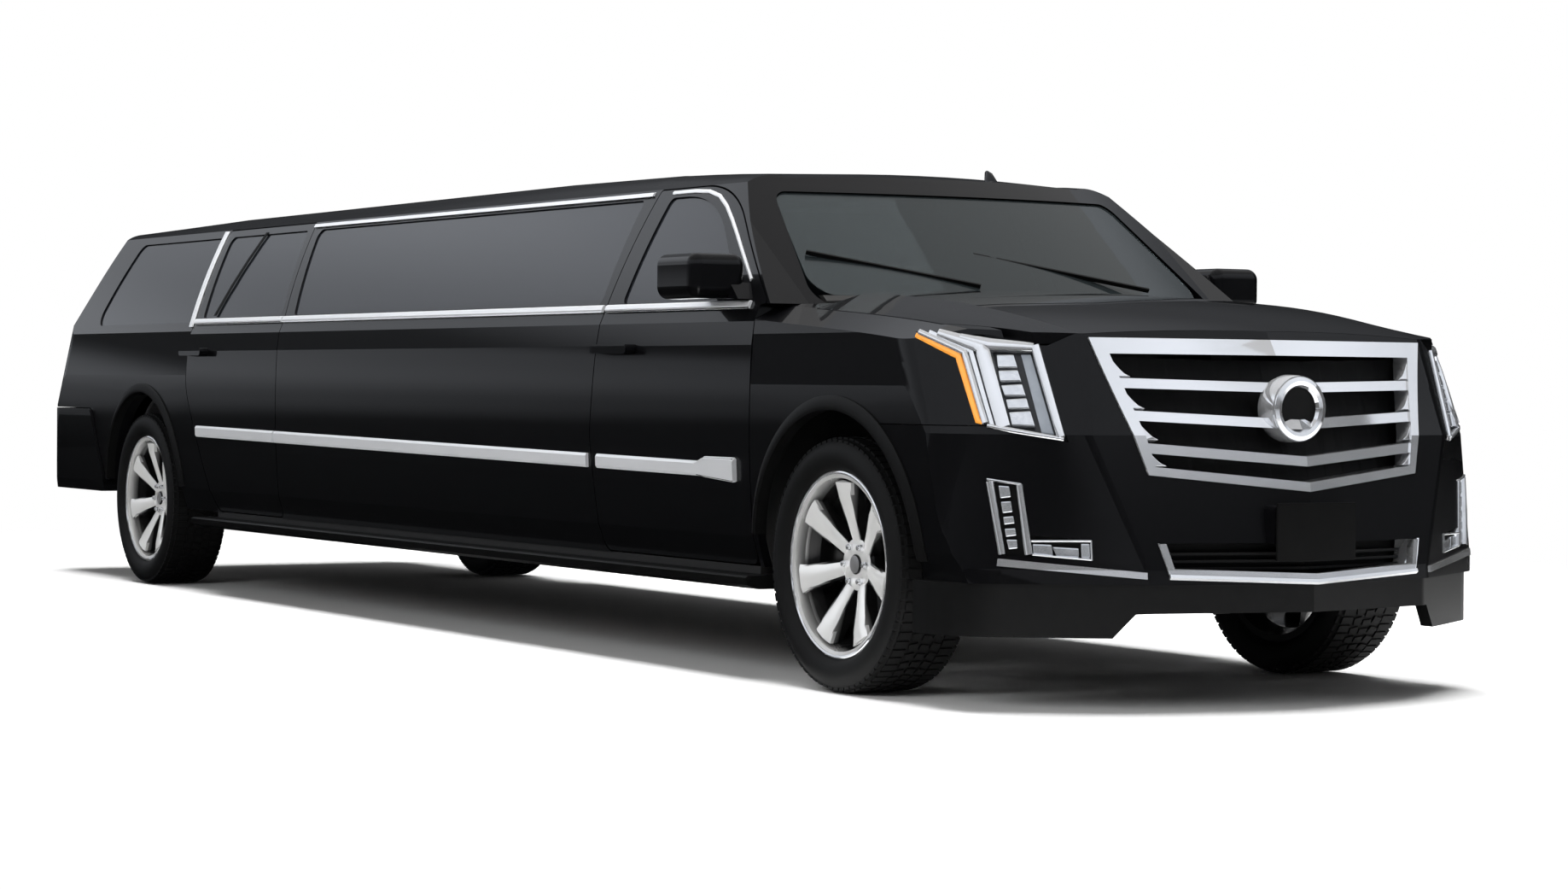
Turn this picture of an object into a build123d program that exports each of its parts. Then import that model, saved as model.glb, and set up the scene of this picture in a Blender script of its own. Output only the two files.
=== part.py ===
from build123d import *
import os
from math import acos, cos, radians, sin, tan

# Stretch limousine built from a long full-size SUV with a section let into its middle.
# Frame: +X forward, +Y left, +Z up; origin on the ground, at mid-length, on the centre line.

os.makedirs("parts", exist_ok=True)

# ---------------------------------------------------------------- driving dimensions (mm)
stretch = 3048
standard_wheelbase = 3302
front_overhang = 1130
rear_overhang = 1390
track = 1745
tyre_radius = 405
tyre_width = 285
rim_radius = 297
body_half_width = 1022
wall_low = 80            # door and side wall below the belt
wall_high = 44           # window frames and pillars
roof_thickness = 42
shut_gap = 6
seat_gap = 0.4           # between curved faces that sit on each other
glass_thickness = 6
glass_inset = 7

sill_z = 373
crease_z = 470
shoulder_z = 1180
belt_z = 1238
drip_z = 1668
roof_crown_z = 1758

wheelbase = standard_wheelbase + stretch
body_length = front_overhang + wheelbase + rear_overhang
front_axle_x = body_length / 2 - front_overhang
rear_axle_x = front_axle_x - wheelbase
tail_x = -body_length / 2
axle_z = tyre_radius

# half widths of the body wall at its creases
sill_y = body_half_width - 47
crease_y = body_half_width - 18
shoulder_low_y = body_half_width - 6
shoulder_y = body_half_width - 16
belt_y = body_half_width - 40
drip_y = body_half_width - 260
shoulder_low_z = shoulder_z - 78
widest_z = 790

# fore and aft places of the shut lines at the belt
door_front_x = front_axle_x - 520
door_rear_x = front_axle_x - 1610
rear_door_front_x = door_rear_x - stretch
rear_door_rear_x = rear_axle_x + 622
arch_radius_front = 490
arch_radius_rear = 505
door_bottom_z = sill_z + 5.9
below = -100             # start of tool bodies under the ground
above = 2500             # end of tool bodies over the roof
wide = 1400              # half width of tool bodies

half_track = track / 2


def save(part, name):
    """Label a finished piece and write it."""
    part.label = name
    export_step(part, f"parts/{name}.step")


def mirrored(part):
    """The same piece on the other side of the car."""
    return mirror(part, about=Plane.XZ)


def common(first, second):
    """What two bodies share."""
    with BuildPart() as shared:
        add(first)
        add(second, mode=Mode.INTERSECT)
    return shared.part


# ---------------------------------------------------------------- section of the body wall
def wall_blank(outer, inner_low, inner_high, x_back, x_front):
    """Left body wall from sill to drip rail: faces moved in from the skin by the given amounts."""
    with BuildPart() as blank:
        with BuildSketch(Plane.YZ.offset(x_back)):
            with BuildLine():
                Line((sill_y - inner_low, sill_z), (sill_y - outer, sill_z))
                Line((sill_y - outer, sill_z), (crease_y - outer, crease_z))
                ThreePointArc((crease_y - outer, crease_z), (body_half_width - outer, widest_z),
                              (shoulder_low_y - outer, shoulder_low_z))
                Line((shoulder_low_y - outer, shoulder_low_z), (shoulder_y - outer, shoulder_z))
                Line((shoulder_y - outer, shoulder_z), (belt_y - outer, belt_z))
                ThreePointArc((belt_y - outer, belt_z),
                              ((belt_y + drip_y) / 2 + 12 - outer, (belt_z + drip_z) / 2),
                              (drip_y - outer, drip_z))
                Line((drip_y - outer, drip_z), (drip_y - inner_high, drip_z))
                Line((drip_y - inner_high, drip_z), (belt_y - inner_high, belt_z))
                if inner_low == inner_high:
                    Polyline((belt_y - inner_low, belt_z), (shoulder_low_y - inner_low, shoulder_low_z),
                             (crease_y - inner_low, crease_z), (sill_y - inner_low, sill_z))
                else:
                    Polyline((belt_y - inner_high, belt_z), (belt_y - inner_low, belt_z - 30),
                             (belt_y - inner_low, crease_z), (sill_y - inner_low, sill_z))
            make_face()
        extrude(amount=x_front - x_back)
    return blank.part


def skin_blank(outer, inner, x_back, x_front):
    """A thin layer that follows the body wall, such as glass or a moulding."""
    with BuildPart() as blank:
        with BuildSketch(Plane.YZ.offset(x_back)):
            with BuildLine():
                Line((sill_y - inner, sill_z), (sill_y - outer, sill_z))
                Line((sill_y - outer, sill_z), (crease_y - outer, crease_z))
                ThreePointArc((crease_y - outer, crease_z), (body_half_width - outer, widest_z),
                              (shoulder_low_y - outer, shoulder_low_z))
                Line((shoulder_low_y - outer, shoulder_low_z), (shoulder_y - outer, shoulder_z))
                Line((shoulder_y - outer, shoulder_z), (belt_y - outer, belt_z))
                ThreePointArc((belt_y - outer, belt_z),
                              ((belt_y + drip_y) / 2 + 12 - outer, (belt_z + drip_z) / 2),
                              (drip_y - outer, drip_z))
                Line((drip_y - outer, drip_z), (drip_y - inner, drip_z))
                ThreePointArc((drip_y - inner, drip_z),
                              ((belt_y + drip_y) / 2 + 12 - inner, (belt_z + drip_z) / 2),
                              (belt_y - inner, belt_z))
                Line((belt_y - inner, belt_z), (shoulder_y - inner, shoulder_z))
                Line((shoulder_y - inner, shoulder_z), (shoulder_low_y - inner, shoulder_low_z))
                ThreePointArc((shoulder_low_y - inner, shoulder_low_z),
                              (body_half_width - inner, widest_z), (crease_y - inner, crease_z))
                Line((crease_y - inner, crease_z), (sill_y - inner, sill_z))
            make_face()
        extrude(amount=x_front - x_back)
    return blank.part


def side_prism(points, radii, grow=0.0):
    """Left half prism with an outline seen from the side; radii rounds each corner in turn."""
    with BuildPart() as prism:
        with BuildSketch(Plane.XZ.offset(-wide)):
            with BuildLine():
                FilletPolyline(*points, radius=radii, close=True)
            make_face()
            if grow:
                offset(amount=grow, kind=Kind.INTERSECTION)
        extrude(amount=wide)
    return prism.part


# ---------------------------------------------------------------- outlines seen from the side
windscreen_slope = 0.727          # rise per unit of length of the windscreen pillar
pillar_foot_x = front_axle_x - 473
door_head_z = drip_z - 5
front_door_head_x = pillar_foot_x - (door_head_z - belt_z) / windscreen_slope
rear_post_lean = 165              # how far the sloping window posts lean back over their height
front_door_outline = [
    (door_front_x, door_bottom_z), (door_front_x, belt_z - 2), (pillar_foot_x, belt_z),
    (front_door_head_x, door_head_z), (door_rear_x, door_head_z), (door_rear_x - 12, shoulder_z),
    (door_rear_x - 58, widest_z), (door_rear_x, door_bottom_z)]
front_door_radii = [40, 12, 8, 700, 12, 300, 300, 40]
rear_door_outline = [
    (rear_door_front_x, door_bottom_z), (rear_door_front_x, belt_z),
    (rear_door_front_x - rear_post_lean, door_head_z), (rear_door_rear_x - 130, door_head_z),
    (rear_door_rear_x - 5, belt_z), (rear_door_rear_x - 30, arch_radius_rear + axle_z + 30),
    (rear_door_rear_x + 300, door_bottom_z)]
rear_door_radii = [40, 80, 20, 20, 60, 200, 60]

glass_low_z = belt_z + 14
glass_high_z = door_head_z - 30
frame_width = 62
front_glass_outline = [
    (door_rear_x + 100, glass_low_z), (pillar_foot_x - 190, glass_low_z),
    (front_door_head_x - 92, glass_high_z), (door_rear_x + 108, glass_high_z)]
front_glass_radii = [25, 20, 700, 25]
stretch_glass_outline = [
    (rear_door_front_x + frame_width + 36, glass_low_z), (door_rear_x - frame_width, glass_low_z),
    (door_rear_x - frame_width - 30, glass_high_z),
    (rear_door_front_x - rear_post_lean + frame_width + 20, glass_high_z)]
stretch_glass_radii = [30, 30, 30, 30]
rear_glass_outline = [
    (rear_door_rear_x + 75, glass_low_z), (rear_door_front_x - 36, glass_low_z),
    (rear_door_front_x - rear_post_lean - 48, glass_high_z), (rear_door_rear_x - 58, glass_high_z)]
rear_glass_radii = [30, 30, 30, 30]
quarter_glass_outline = [
    (rear_axle_x - 760, glass_low_z - 20), (rear_door_rear_x - 62, glass_low_z - 20),
    (rear_door_rear_x - 185, glass_high_z), (rear_axle_x - 640, glass_high_z)]
quarter_glass_radii = [60, 30, 30, 60]

# ---------------------------------------------------------------- tail and nose as plan sections
tail_levels = [  # z, tail end x from the bumper's end, half width of the box, corner radius
    (below, 0, body_half_width + 14, 230),
    (840, 0, body_half_width + 14, 230),
    (belt_z, 120, belt_y + 14, 240),
    (above, 840, drip_y - 330, 150)]


def tail_solid(inset, x_front):
    """Everything ahead of the tail surface, which leans forward above the bumper."""
    with BuildPart() as tail:
        for z, step, half, corner in tail_levels:
            back = tail_x + step + inset
            with BuildSketch(Plane.XY.offset(z)):
                with BuildLine():
                    FilletPolyline((x_front, half), (back, half), (back, -half), (x_front, -half),
                                   radius=corner - inset * 0.5)
                    Line((x_front, -half), (x_front, half))
                make_face()
        loft(ruled=True)
    return tail.part


# columns: z, then x ahead of the front axle and half width at four places round the nose
nose_levels = [
    (below, 560, 1036, 728, 1016, 1050, 530, 1160),
    (430, 560, 1036, 728, 1012, 1030, 540, 1150),
    (830, 560, 1030, 742, 930, 930, 690, 1085),
    (1125, 430, 1012, 700, 840, 846, 655, 905),
    (1400, 290, 1000, 600, 790, 740, 640, 770)]


nose_corner_radius = 270
nose_flank_radius = 60


def rounded_turn(before, corner, after, radius):
    """Start, middle and end of the arc that rounds a corner of an outline."""
    into = (Vector(*corner) - Vector(*before)).normalized()
    away = (Vector(*after) - Vector(*corner)).normalized()
    half_turn = acos(max(-1.0, min(1.0, into.dot(away)))) / 2
    reach = radius * tan(half_turn)
    inward = (away - into).normalized()
    middle = Vector(*corner) + inward * (radius / cos(half_turn) - radius)
    return Vector(*corner) - into * reach, middle, Vector(*corner) + away * reach


def nose_solid(inset, x_back):
    """Everything behind the front surface: side, corner, flank of the grille and a pointed middle."""
    with BuildPart() as nose:
        for z, x1, y1, x2, y2, x3, y3, x4 in nose_levels:
            a = front_axle_x - inset
            round_corner = nose_corner_radius - inset / 2
            left = [(x_back, y1 - inset), (a + x1, y1 - inset), (a + x2, y2 - inset),
                    (a + x3, y3 - inset / 2), (a + x4, 0)]
            turns = [rounded_turn(*left[0:3], round_corner), rounded_turn(*left[1:4], round_corner),
                     rounded_turn(*left[2:5], nose_flank_radius)]
            outline = [Vector(*left[0])] + [point for turn in turns for point in turn] + [Vector(*left[4])]
            right = [Vector(point.X, -point.Y) for point in outline]
            with BuildSketch(Plane.XY.offset(z)):
                with BuildLine():
                    for run in (outline, right):
                        Line(run[0], run[1])
                        ThreePointArc(run[1], run[2], run[3])
                        Line(run[3], run[4])
                        ThreePointArc(run[4], run[5], run[6])
                        Line(run[6], run[7])
                        ThreePointArc(run[7], run[8], run[9])
                        Line(run[9], run[10])
                    Line(outline[0], right[0])
                make_face()
        loft(ruled=True)
    return nose.part


# ---------------------------------------------------------------- hood and fender top surface
# columns: x from the front axle, crown z, dome edge half width and z, hood edge half width and z
hood_stations = [
    (-700, 1318, 730, 1296, 905, 1248),
    (-250, 1292, 725, 1272, 900, 1218),
    (400, 1240, 690, 1214, 900, 1168),
    (1000, 1122, 640, 1096, 900, 1080),
    (1300, 1056, 615, 1029, 900, 1012)]


def under_hood_surface(inset, below_z):
    """Space under the surface of hood and fender tops."""
    with BuildPart() as space:
        for x, crown, dome_y, dome_z, edge_y, edge_z in hood_stations:
            with BuildSketch(Plane.YZ.offset(front_axle_x + x)):
                with BuildLine():
                    ThreePointArc((-dome_y, dome_z - inset), (0, crown - inset), (dome_y, dome_z - inset))
                    Line((dome_y, dome_z - inset), (edge_y, edge_z - inset))
                    Line((edge_y, edge_z - inset), (edge_y + 130, edge_z - 62 - inset))
                    Line((edge_y + 130, edge_z - 62 - inset), (edge_y + 130, below_z))
                    Line((edge_y + 130, below_z), (-edge_y - 130, below_z))
                    Line((-edge_y - 130, below_z), (-edge_y - 130, edge_z - 62 - inset))
                    Line((-edge_y - 130, edge_z - 62 - inset), (-edge_y, edge_z - inset))
                    Line((-edge_y, edge_z - inset), (-dome_y, dome_z - inset))
                make_face()
        loft()
    return space.part


hood_rear_x = front_axle_x - 285
hood_edge_y = 900
hood_front_rise = 20
hood_thickness = 34

hood_space = under_hood_surface(0, below)
hood_space_inner = under_hood_surface(hood_thickness, below)
tail_outer = tail_solid(0, door_front_x)


# ---------------------------------------------------------------- filled blocks that the shells are cut from
def half_block(low, high, x_back, x_front):
    """Left half of the body filled from the centre line out to the wall moved in by low and high."""
    with BuildPart() as block:
        with BuildSketch(Plane.YZ.offset(x_back)):
            with BuildLine():
                Line((0, sill_z), (sill_y - low, sill_z))
                Line((sill_y - low, sill_z), (crease_y - low, crease_z))
                ThreePointArc((crease_y - low, crease_z), (body_half_width - low, widest_z),
                              (shoulder_low_y - low, shoulder_low_z))
                Line((shoulder_low_y - low, shoulder_low_z), (shoulder_y - low, shoulder_z))
                Line((shoulder_y - low, shoulder_z), (belt_y - high, belt_z))
                ThreePointArc((belt_y - high, belt_z),
                              ((belt_y + drip_y) / 2 + 12 - high, (belt_z + drip_z) / 2),
                              (drip_y - high, drip_z))
                Line((drip_y - high, drip_z), (0, drip_z))
                Line((0, drip_z), (0, sill_z))
            make_face()
        extrude(amount=x_front - x_back)
    return block.part


def fender_block(inset):
    """Left half of the front end below the hood surface, out to the fender's side."""
    with BuildPart() as block:
        with BuildSketch(Plane.YZ.offset(door_front_x + shut_gap)):
            with BuildLine():
                Line((0, sill_z), (sill_y - inset, sill_z))
                Line((sill_y - inset, sill_z), (crease_y - inset, crease_z))
                ThreePointArc((crease_y - inset, crease_z), (body_half_width - inset, widest_z),
                              (shoulder_low_y - inset, shoulder_low_z))
                Line((shoulder_low_y - inset, shoulder_low_z), (shoulder_y - inset, shoulder_z))
                Line((shoulder_y - inset, shoulder_z), (shoulder_y - inset, 1400))
                Line((shoulder_y - inset, 1400), (0, 1400))
                Line((0, 1400), (0, sill_z))
            make_face()
        extrude(amount=front_overhang + 700)
        add(under_hood_surface(inset, below), mode=Mode.INTERSECT)
        add(nose_solid(inset, door_front_x - 100), mode=Mode.INTERSECT)
    return block.part


windscreen_foot_x = front_axle_x - 360       # centre of the glass at its foot
windscreen_foot_z = 1292
windscreen_corner = (150, 846)               # how far back and out the glass corner is at the foot


def behind_windscreen(inset, x_back):
    """Space behind the windscreen surface, which is a bowed outline pushed back along its slope."""
    back, half = windscreen_corner
    low_z = 1100
    start = windscreen_foot_x + (windscreen_foot_z - low_z) / windscreen_slope
    start = start - inset / sin(radians(36))
    length = 1300
    with BuildPart() as space:
        with BuildSketch(Plane.XY.offset(low_z)):
            with BuildLine():
                ThreePointArc((start - back, -half), (start, 0), (start - back, half))
                Polyline((start - back, half), (start - back - 30, half + 200), (x_back, half + 200),
                         (x_back, -half - 200), (start - back - 30, -half - 200), (start - back, -half))
            make_face()
        extrude(amount=length, dir=Vector(-1, 0, windscreen_slope).normalized())
    return space.part


# columns: x, height of the roof shoulder, height of the crown
roof_stations = [
    (front_axle_x - 700, 1660, 1672),
    (front_axle_x - 1100, 1700, 1722),
    (front_axle_x - 1700, 1728, roof_crown_z - 4),
    (front_axle_x - 2600, 1736, roof_crown_z + 4),
    (rear_axle_x + 400, 1726, roof_crown_z - 8),
    (tail_x, 1690, roof_crown_z - 48)]
roof_shoulder_y = 600


def roof_blanket(thickness):
    """Roof panel between the drip rails, with the rail as wide as a pillar."""
    with BuildPart() as blanket:
        for x, shoulder, crown in roof_stations:
            t = thickness
            with BuildSketch(Plane.YZ.offset(x)):
                with BuildLine():
                    ThreePointArc((-roof_shoulder_y, shoulder), (0, crown), (roof_shoulder_y, shoulder))
                    ThreePointArc((roof_shoulder_y, shoulder),
                                  ((roof_shoulder_y + drip_y) / 2 + 10, (shoulder + drip_z) / 2 + 13),
                                  (drip_y, drip_z))
                    Line((drip_y, drip_z), (drip_y, drip_z - t))
                    Line((drip_y, drip_z - t), (roof_shoulder_y, shoulder - t))
                    ThreePointArc((roof_shoulder_y, shoulder - t), (0, crown - t),
                                  (-roof_shoulder_y, shoulder - t))
                    Line((-roof_shoulder_y, shoulder - t), (-drip_y, drip_z - t))
                    Line((-drip_y, drip_z - t), (-drip_y, drip_z))
                    ThreePointArc((-drip_y, drip_z),
                                  (-(roof_shoulder_y + drip_y) / 2 - 10, (shoulder + drip_z) / 2 + 13),
                                  (-roof_shoulder_y, shoulder))
                make_face()
        loft(ruled=True)
    return blanket.part


def box(x_back, x_front, y_right, y_left, z_low, z_high):
    """A plain tool block between two corners."""
    with BuildPart() as block:
        with BuildSketch(Plane.XY.offset(z_low)):
            with Locations(((x_back + x_front) / 2, (y_right + y_left) / 2)):
                Rectangle(x_front - x_back, y_left - y_right)
        extrude(amount=z_high - z_low)
    return block.part


def front_view_prism(points, x_back, x_front, grow=0.0, radius=0.0):
    """Prism along the car with an outline of (y, z) points seen from its end."""
    with BuildPart() as prism:
        with BuildSketch(Plane.YZ.offset(x_back)):
            with BuildLine():
                if radius:
                    FilletPolyline(*points, radius=radius, close=True)
                else:
                    Polyline(*points, close=True)
            make_face()
            if grow:
                offset(amount=grow, kind=Kind.INTERSECTION)
        extrude(amount=x_front - x_back)
    return prism.part


# plane that faces the front corner squarely: local x runs outward and back, local y runs up
corner_angle = 40
corner_plane = Plane(origin=(front_axle_x, 0, 0),
                     x_dir=(-sin(radians(corner_angle)), cos(radians(corner_angle)), 0),
                     z_dir=(cos(radians(corner_angle)), sin(radians(corner_angle)), 0))


def corner_prism(points, grow=0.0, depth=700):
    """Prism square to the front corner, with its outline in the corner plane."""
    with BuildPart() as prism:
        with BuildSketch(corner_plane.offset(1500 - depth)):
            with BuildLine():
                Polyline(*points, close=True)
            make_face()
            if grow:
                offset(amount=grow, kind=Kind.INTERSECTION)
        extrude(amount=depth + 200)
    return prism.part


# ---------------------------------------------------------------- whole left wall and its panels
x_all_back = tail_x - 60
x_cabin_front = front_axle_x - 300
wall = wall_blank(0, wall_low, wall_high, x_all_back, x_cabin_front)
skin_depth = 24
relief = 9
under_skin = half_block(skin_depth, skin_depth, x_all_back, x_cabin_front)
glass_layer = skin_blank(glass_inset, glass_inset + glass_thickness, x_all_back, x_cabin_front)
trim_stand = 9
trim_layer = skin_blank(-trim_stand, -seat_gap, x_all_back, front_axle_x + 100)

outlines = {
    "front_door": (front_door_outline, front_door_radii),
    "rear_door": (rear_door_outline, rear_door_radii)}
window_outlines = {
    "front": (front_glass_outline, front_glass_radii),
    "stretch": (stretch_glass_outline, stretch_glass_radii),
    "rear": (rear_glass_outline, rear_glass_radii),
    "quarter": (quarter_glass_outline, quarter_glass_radii)}
pane_gap = 0.5
prisms = {name: side_prism(*outline) for name, outline in outlines.items()}
gaps = {name: side_prism(*outline, shut_gap) for name, outline in outlines.items()}
deep_gaps = {name: side_prism(*outline, shut_gap + relief) for name, outline in outlines.items()}
windows = {name: side_prism(*outline) for name, outline in window_outlines.items()}
panes = {name: side_prism(*outline, -pane_gap) for name, outline in window_outlines.items()}

with BuildPart() as door_reliefs:
    add(deep_gaps["front_door"])
    add(deep_gaps["rear_door"])
    add(under_skin, mode=Mode.INTERSECT)

hinge_z = (560, 1020)         # middle of the lower and upper door hinge lugs
hinge_y = (940, 975)
parts = {}

for door_name, window_name in (("front_door", "front"), ("rear_door", "rear")):
    with BuildPart() as door:
        add(wall)
        add(prisms[door_name], mode=Mode.INTERSECT)
        add(windows[window_name], mode=Mode.SUBTRACT)
    parts[door_name] = door.part
    with BuildPart() as door_glass:
        add(glass_layer)
        add(panes[window_name], mode=Mode.INTERSECT)
    parts[door_name + "_glass"] = door_glass.part

with BuildPart() as stretch_panel:
    add(wall)
    add(box(rear_door_front_x - rear_post_lean - 60, door_rear_x + 60, 0, wide, 0, drip_z),
        mode=Mode.INTERSECT)
    add(gaps["front_door"], mode=Mode.SUBTRACT)
    add(gaps["rear_door"], mode=Mode.SUBTRACT)
    add(door_reliefs.part, mode=Mode.SUBTRACT)
    add(windows["stretch"], mode=Mode.SUBTRACT)
    for z in hinge_z:
        add(box(rear_door_front_x + seat_gap, rear_door_front_x + 40, *hinge_y, z - 30, z + 30))
parts["stretch_panel"] = stretch_panel.part

# ---------------------------------------------------------------- rear end: quarter panel, tailgate, bumper, lamps
rear_wall = 70
bumper_top_z = 824
bumper_low_z = 420
tailgate_low_z = 640
tailgate_outline = [(-770, tailgate_low_z), (770, tailgate_low_z), (770, belt_z), (640, drip_z - 6),
                    (-640, drip_z - 6), (-770, belt_z)]
lamp_outline = [(776, bumper_top_z + 16), (905, bumper_top_z + 16), (880, belt_z), (712, 1610),
                (669, 1620), (781, belt_z + 4)]
rear_x_front = rear_door_rear_x + 360
rear_bumper_outline = [(tail_x - 100, bumper_low_z), (tail_x - 100, bumper_top_z),
                       (rear_axle_x - 705, bumper_top_z), (rear_axle_x - 520, bumper_low_z)]

with BuildPart() as rear_shell:
    add(half_block(0, 0, x_all_back, rear_x_front))
    add(tail_outer, mode=Mode.INTERSECT)
    add(common(half_block(wall_low, wall_high, x_all_back, rear_x_front + 1),
               tail_solid(rear_wall, rear_x_front + 2)), mode=Mode.SUBTRACT)
half_tailgate = front_view_prism(tailgate_outline, tail_x - 100, tail_x + 900)
half_tailgate_gap = front_view_prism(tailgate_outline, tail_x - 100, tail_x + 900, shut_gap)
tail_lamp_prism = front_view_prism(lamp_outline, tail_x - 100, tail_x + 520)
tail_lamp_gap = front_view_prism(lamp_outline, tail_x - 100, tail_x + 520, 0.8)
bumper_prism = side_prism(rear_bumper_outline, [5, 5, 60, 60])
bumper_gap = side_prism(rear_bumper_outline, [5, 5, 60, 60], 4)


def wheel_arch(axle_x, radius, y_in, y_out):
    """Round tool that opens a wheel arch."""
    with BuildPart() as arch:
        with BuildSketch(Plane.XZ.offset(-y_out)):
            with Locations((axle_x, axle_z)):
                Circle(radius)
            with Locations((axle_x, axle_z - radius)):
                Rectangle(2 * radius, 2 * radius)
        extrude(amount=y_out - y_in)
    return arch.part


rear_arch = wheel_arch(rear_axle_x, arch_radius_rear, 0, wide)
with BuildPart() as quarter_panel:
    add(rear_shell.part)
    add(gaps["rear_door"], mode=Mode.SUBTRACT)
    add(door_reliefs.part, mode=Mode.SUBTRACT)
    add(rear_arch, mode=Mode.SUBTRACT)
    add(half_tailgate_gap, mode=Mode.SUBTRACT)
    add(bumper_gap, mode=Mode.SUBTRACT)
    add(box(x_all_back, rear_axle_x - 300, 0, wide, 0, bumper_low_z + 60), mode=Mode.SUBTRACT)
    add(tail_lamp_gap, mode=Mode.SUBTRACT)
    add(windows["quarter"], mode=Mode.SUBTRACT)
parts["quarter_panel"] = quarter_panel.solids().sort_by(SortBy.VOLUME)[-1]

with BuildPart() as tail_lamp:
    add(rear_shell.part)
    add(tail_lamp_prism, mode=Mode.INTERSECT)
    add(bumper_gap, mode=Mode.SUBTRACT)
parts["tail_lamp"] = tail_lamp.part

# the slanted sides of the tailgate are narrower behind its skin, so it swings out past the posts
tailgate_skin = 14
tailgate_side_step = 24
with BuildPart() as tailgate_relief:
    add(tail_solid(tailgate_skin, rear_x_front))
    add(box(x_all_back, rear_x_front, -wide, wide, belt_z - 60, drip_z - 60), mode=Mode.INTERSECT)
    add(front_view_prism(tailgate_outline, tail_x - 110, rear_x_front + 10, -tailgate_side_step),
        mode=Mode.SUBTRACT)
with BuildPart() as tailgate:
    add(rear_shell.part)
    add(mirrored(rear_shell.part))
    add(half_tailgate, mode=Mode.INTERSECT)
    add(tailgate_relief.part, mode=Mode.SUBTRACT)
tailgate_window = [(-690, belt_z + 26), (690, belt_z + 26), (598, drip_z - 62), (-598, drip_z - 62)]
with BuildPart() as tailgate_panel:
    add(tailgate.part)
    add(front_view_prism(tailgate_window, tail_x - 100, tail_x + 900, radius=40), mode=Mode.SUBTRACT)
with BuildPart() as tailgate_glass:
    add(tail_solid(glass_inset, front_axle_x))
    add(tail_solid(glass_inset + glass_thickness, front_axle_x + 10), mode=Mode.SUBTRACT)
    add(front_view_prism(tailgate_window, tail_x - 100, tail_x + 900, -pane_gap, radius=40),
        mode=Mode.INTERSECT)

bumper_stand = 14
with BuildPart() as rear_bumper_half:
    add(half_block(-bumper_stand, 0, x_all_back, rear_x_front))
    add(tail_solid(-bumper_stand, rear_x_front + 1), mode=Mode.INTERSECT)
    add(common(half_block(rear_wall, rear_wall, x_all_back, rear_x_front + 1),
               tail_solid(rear_wall, rear_x_front + 2)), mode=Mode.SUBTRACT)
    add(bumper_prism, mode=Mode.INTERSECT)
    add(half_tailgate_gap, mode=Mode.SUBTRACT)
with BuildPart() as rear_bumper:
    add(rear_bumper_half.part)
    add(mirrored(rear_bumper_half.part))

# ---------------------------------------------------------------- roof with windscreen pillars, windscreen
roof_tail_x = tail_x + 480    # the roof panel lies on the rear shell behind this station
tailgate_hinge_x = roof_tail_x - 80
windscreen_outline = [(-834, 1228), (834, 1228), (698, drip_z - 32), (-698, drip_z - 32)]
with BuildPart() as pillar_half:
    add(half_block(0, 0, front_door_head_x - 200, front_axle_x - 100))
    add(behind_windscreen(0, front_door_head_x - 400), mode=Mode.INTERSECT)
    add(common(half_block(wall_high, wall_high, front_door_head_x - 201, front_axle_x - 99),
               behind_windscreen(50, front_door_head_x - 401)), mode=Mode.SUBTRACT)
    add(gaps["front_door"], mode=Mode.SUBTRACT)
    add(box(front_door_head_x - 300, front_axle_x, 0, wide, belt_z, drip_z), mode=Mode.INTERSECT)
with BuildPart() as roof:
    add(roof_blanket(roof_thickness))
    add(behind_windscreen(0, tail_x - 200), mode=Mode.INTERSECT)
    add(tail_solid(0, front_axle_x), mode=Mode.INTERSECT)
    add(box(x_all_back, front_door_head_x + 60, drip_y - wall_high - 6, wide, 1500, drip_z),
        mode=Mode.SUBTRACT)
    add(box(x_all_back, front_door_head_x + 60, -wide, -drip_y + wall_high + 6, 1500, drip_z),
        mode=Mode.SUBTRACT)
    add(box(x_all_back, roof_tail_x, -wide, wide, 1500, drip_z), mode=Mode.SUBTRACT)
    for side in (-1, 1):
        add(box(tailgate_hinge_x, roof_tail_x + 10, side * 480 - 40, side * 480 + 40,
                drip_z - shut_gap + seat_gap, drip_z + 10))
    add(pillar_half.part)
    add(mirrored(pillar_half.part))
    add(front_view_prism(windscreen_outline, front_door_head_x - 20, front_axle_x + 100, radius=60),
        mode=Mode.SUBTRACT)

# ---------------------------------------------------------------- windscreen and fixed side glass
windscreen_low_z = 1268
windscreen_pane = [(-806, windscreen_low_z)] + [(806, windscreen_low_z)] + windscreen_outline[2:]
with BuildPart() as windscreen:
    add(behind_windscreen(glass_inset, front_door_head_x - 400))
    add(behind_windscreen(glass_inset + glass_thickness, front_door_head_x - 300), mode=Mode.SUBTRACT)
    add(front_view_prism(windscreen_pane, front_door_head_x - 20, front_axle_x + 100, -pane_gap,
                         radius=60), mode=Mode.INTERSECT)
    add(box(front_door_head_x - 20, front_axle_x, -wide, wide, 1200, drip_z), mode=Mode.INTERSECT)

with BuildPart() as side_glass_half:
    add(glass_layer)
    add(panes["stretch"], mode=Mode.INTERSECT)
with BuildPart() as quarter_glass_half:
    add(glass_layer)
    add(panes["quarter"], mode=Mode.INTERSECT)
    add(tail_solid(40, front_axle_x), mode=Mode.INTERSECT)
with BuildPart() as fixed_side_glass:
    for glass in (side_glass_half.part, quarter_glass_half.part):
        add(glass)
        add(mirrored(glass))

# ---------------------------------------------------------------- front end
panel_thickness = 30
front_arch = wheel_arch(front_axle_x, arch_radius_front, 0, wide)
front_gap = 5
seam = 0.8                   # between fixed pieces of the front end
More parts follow.
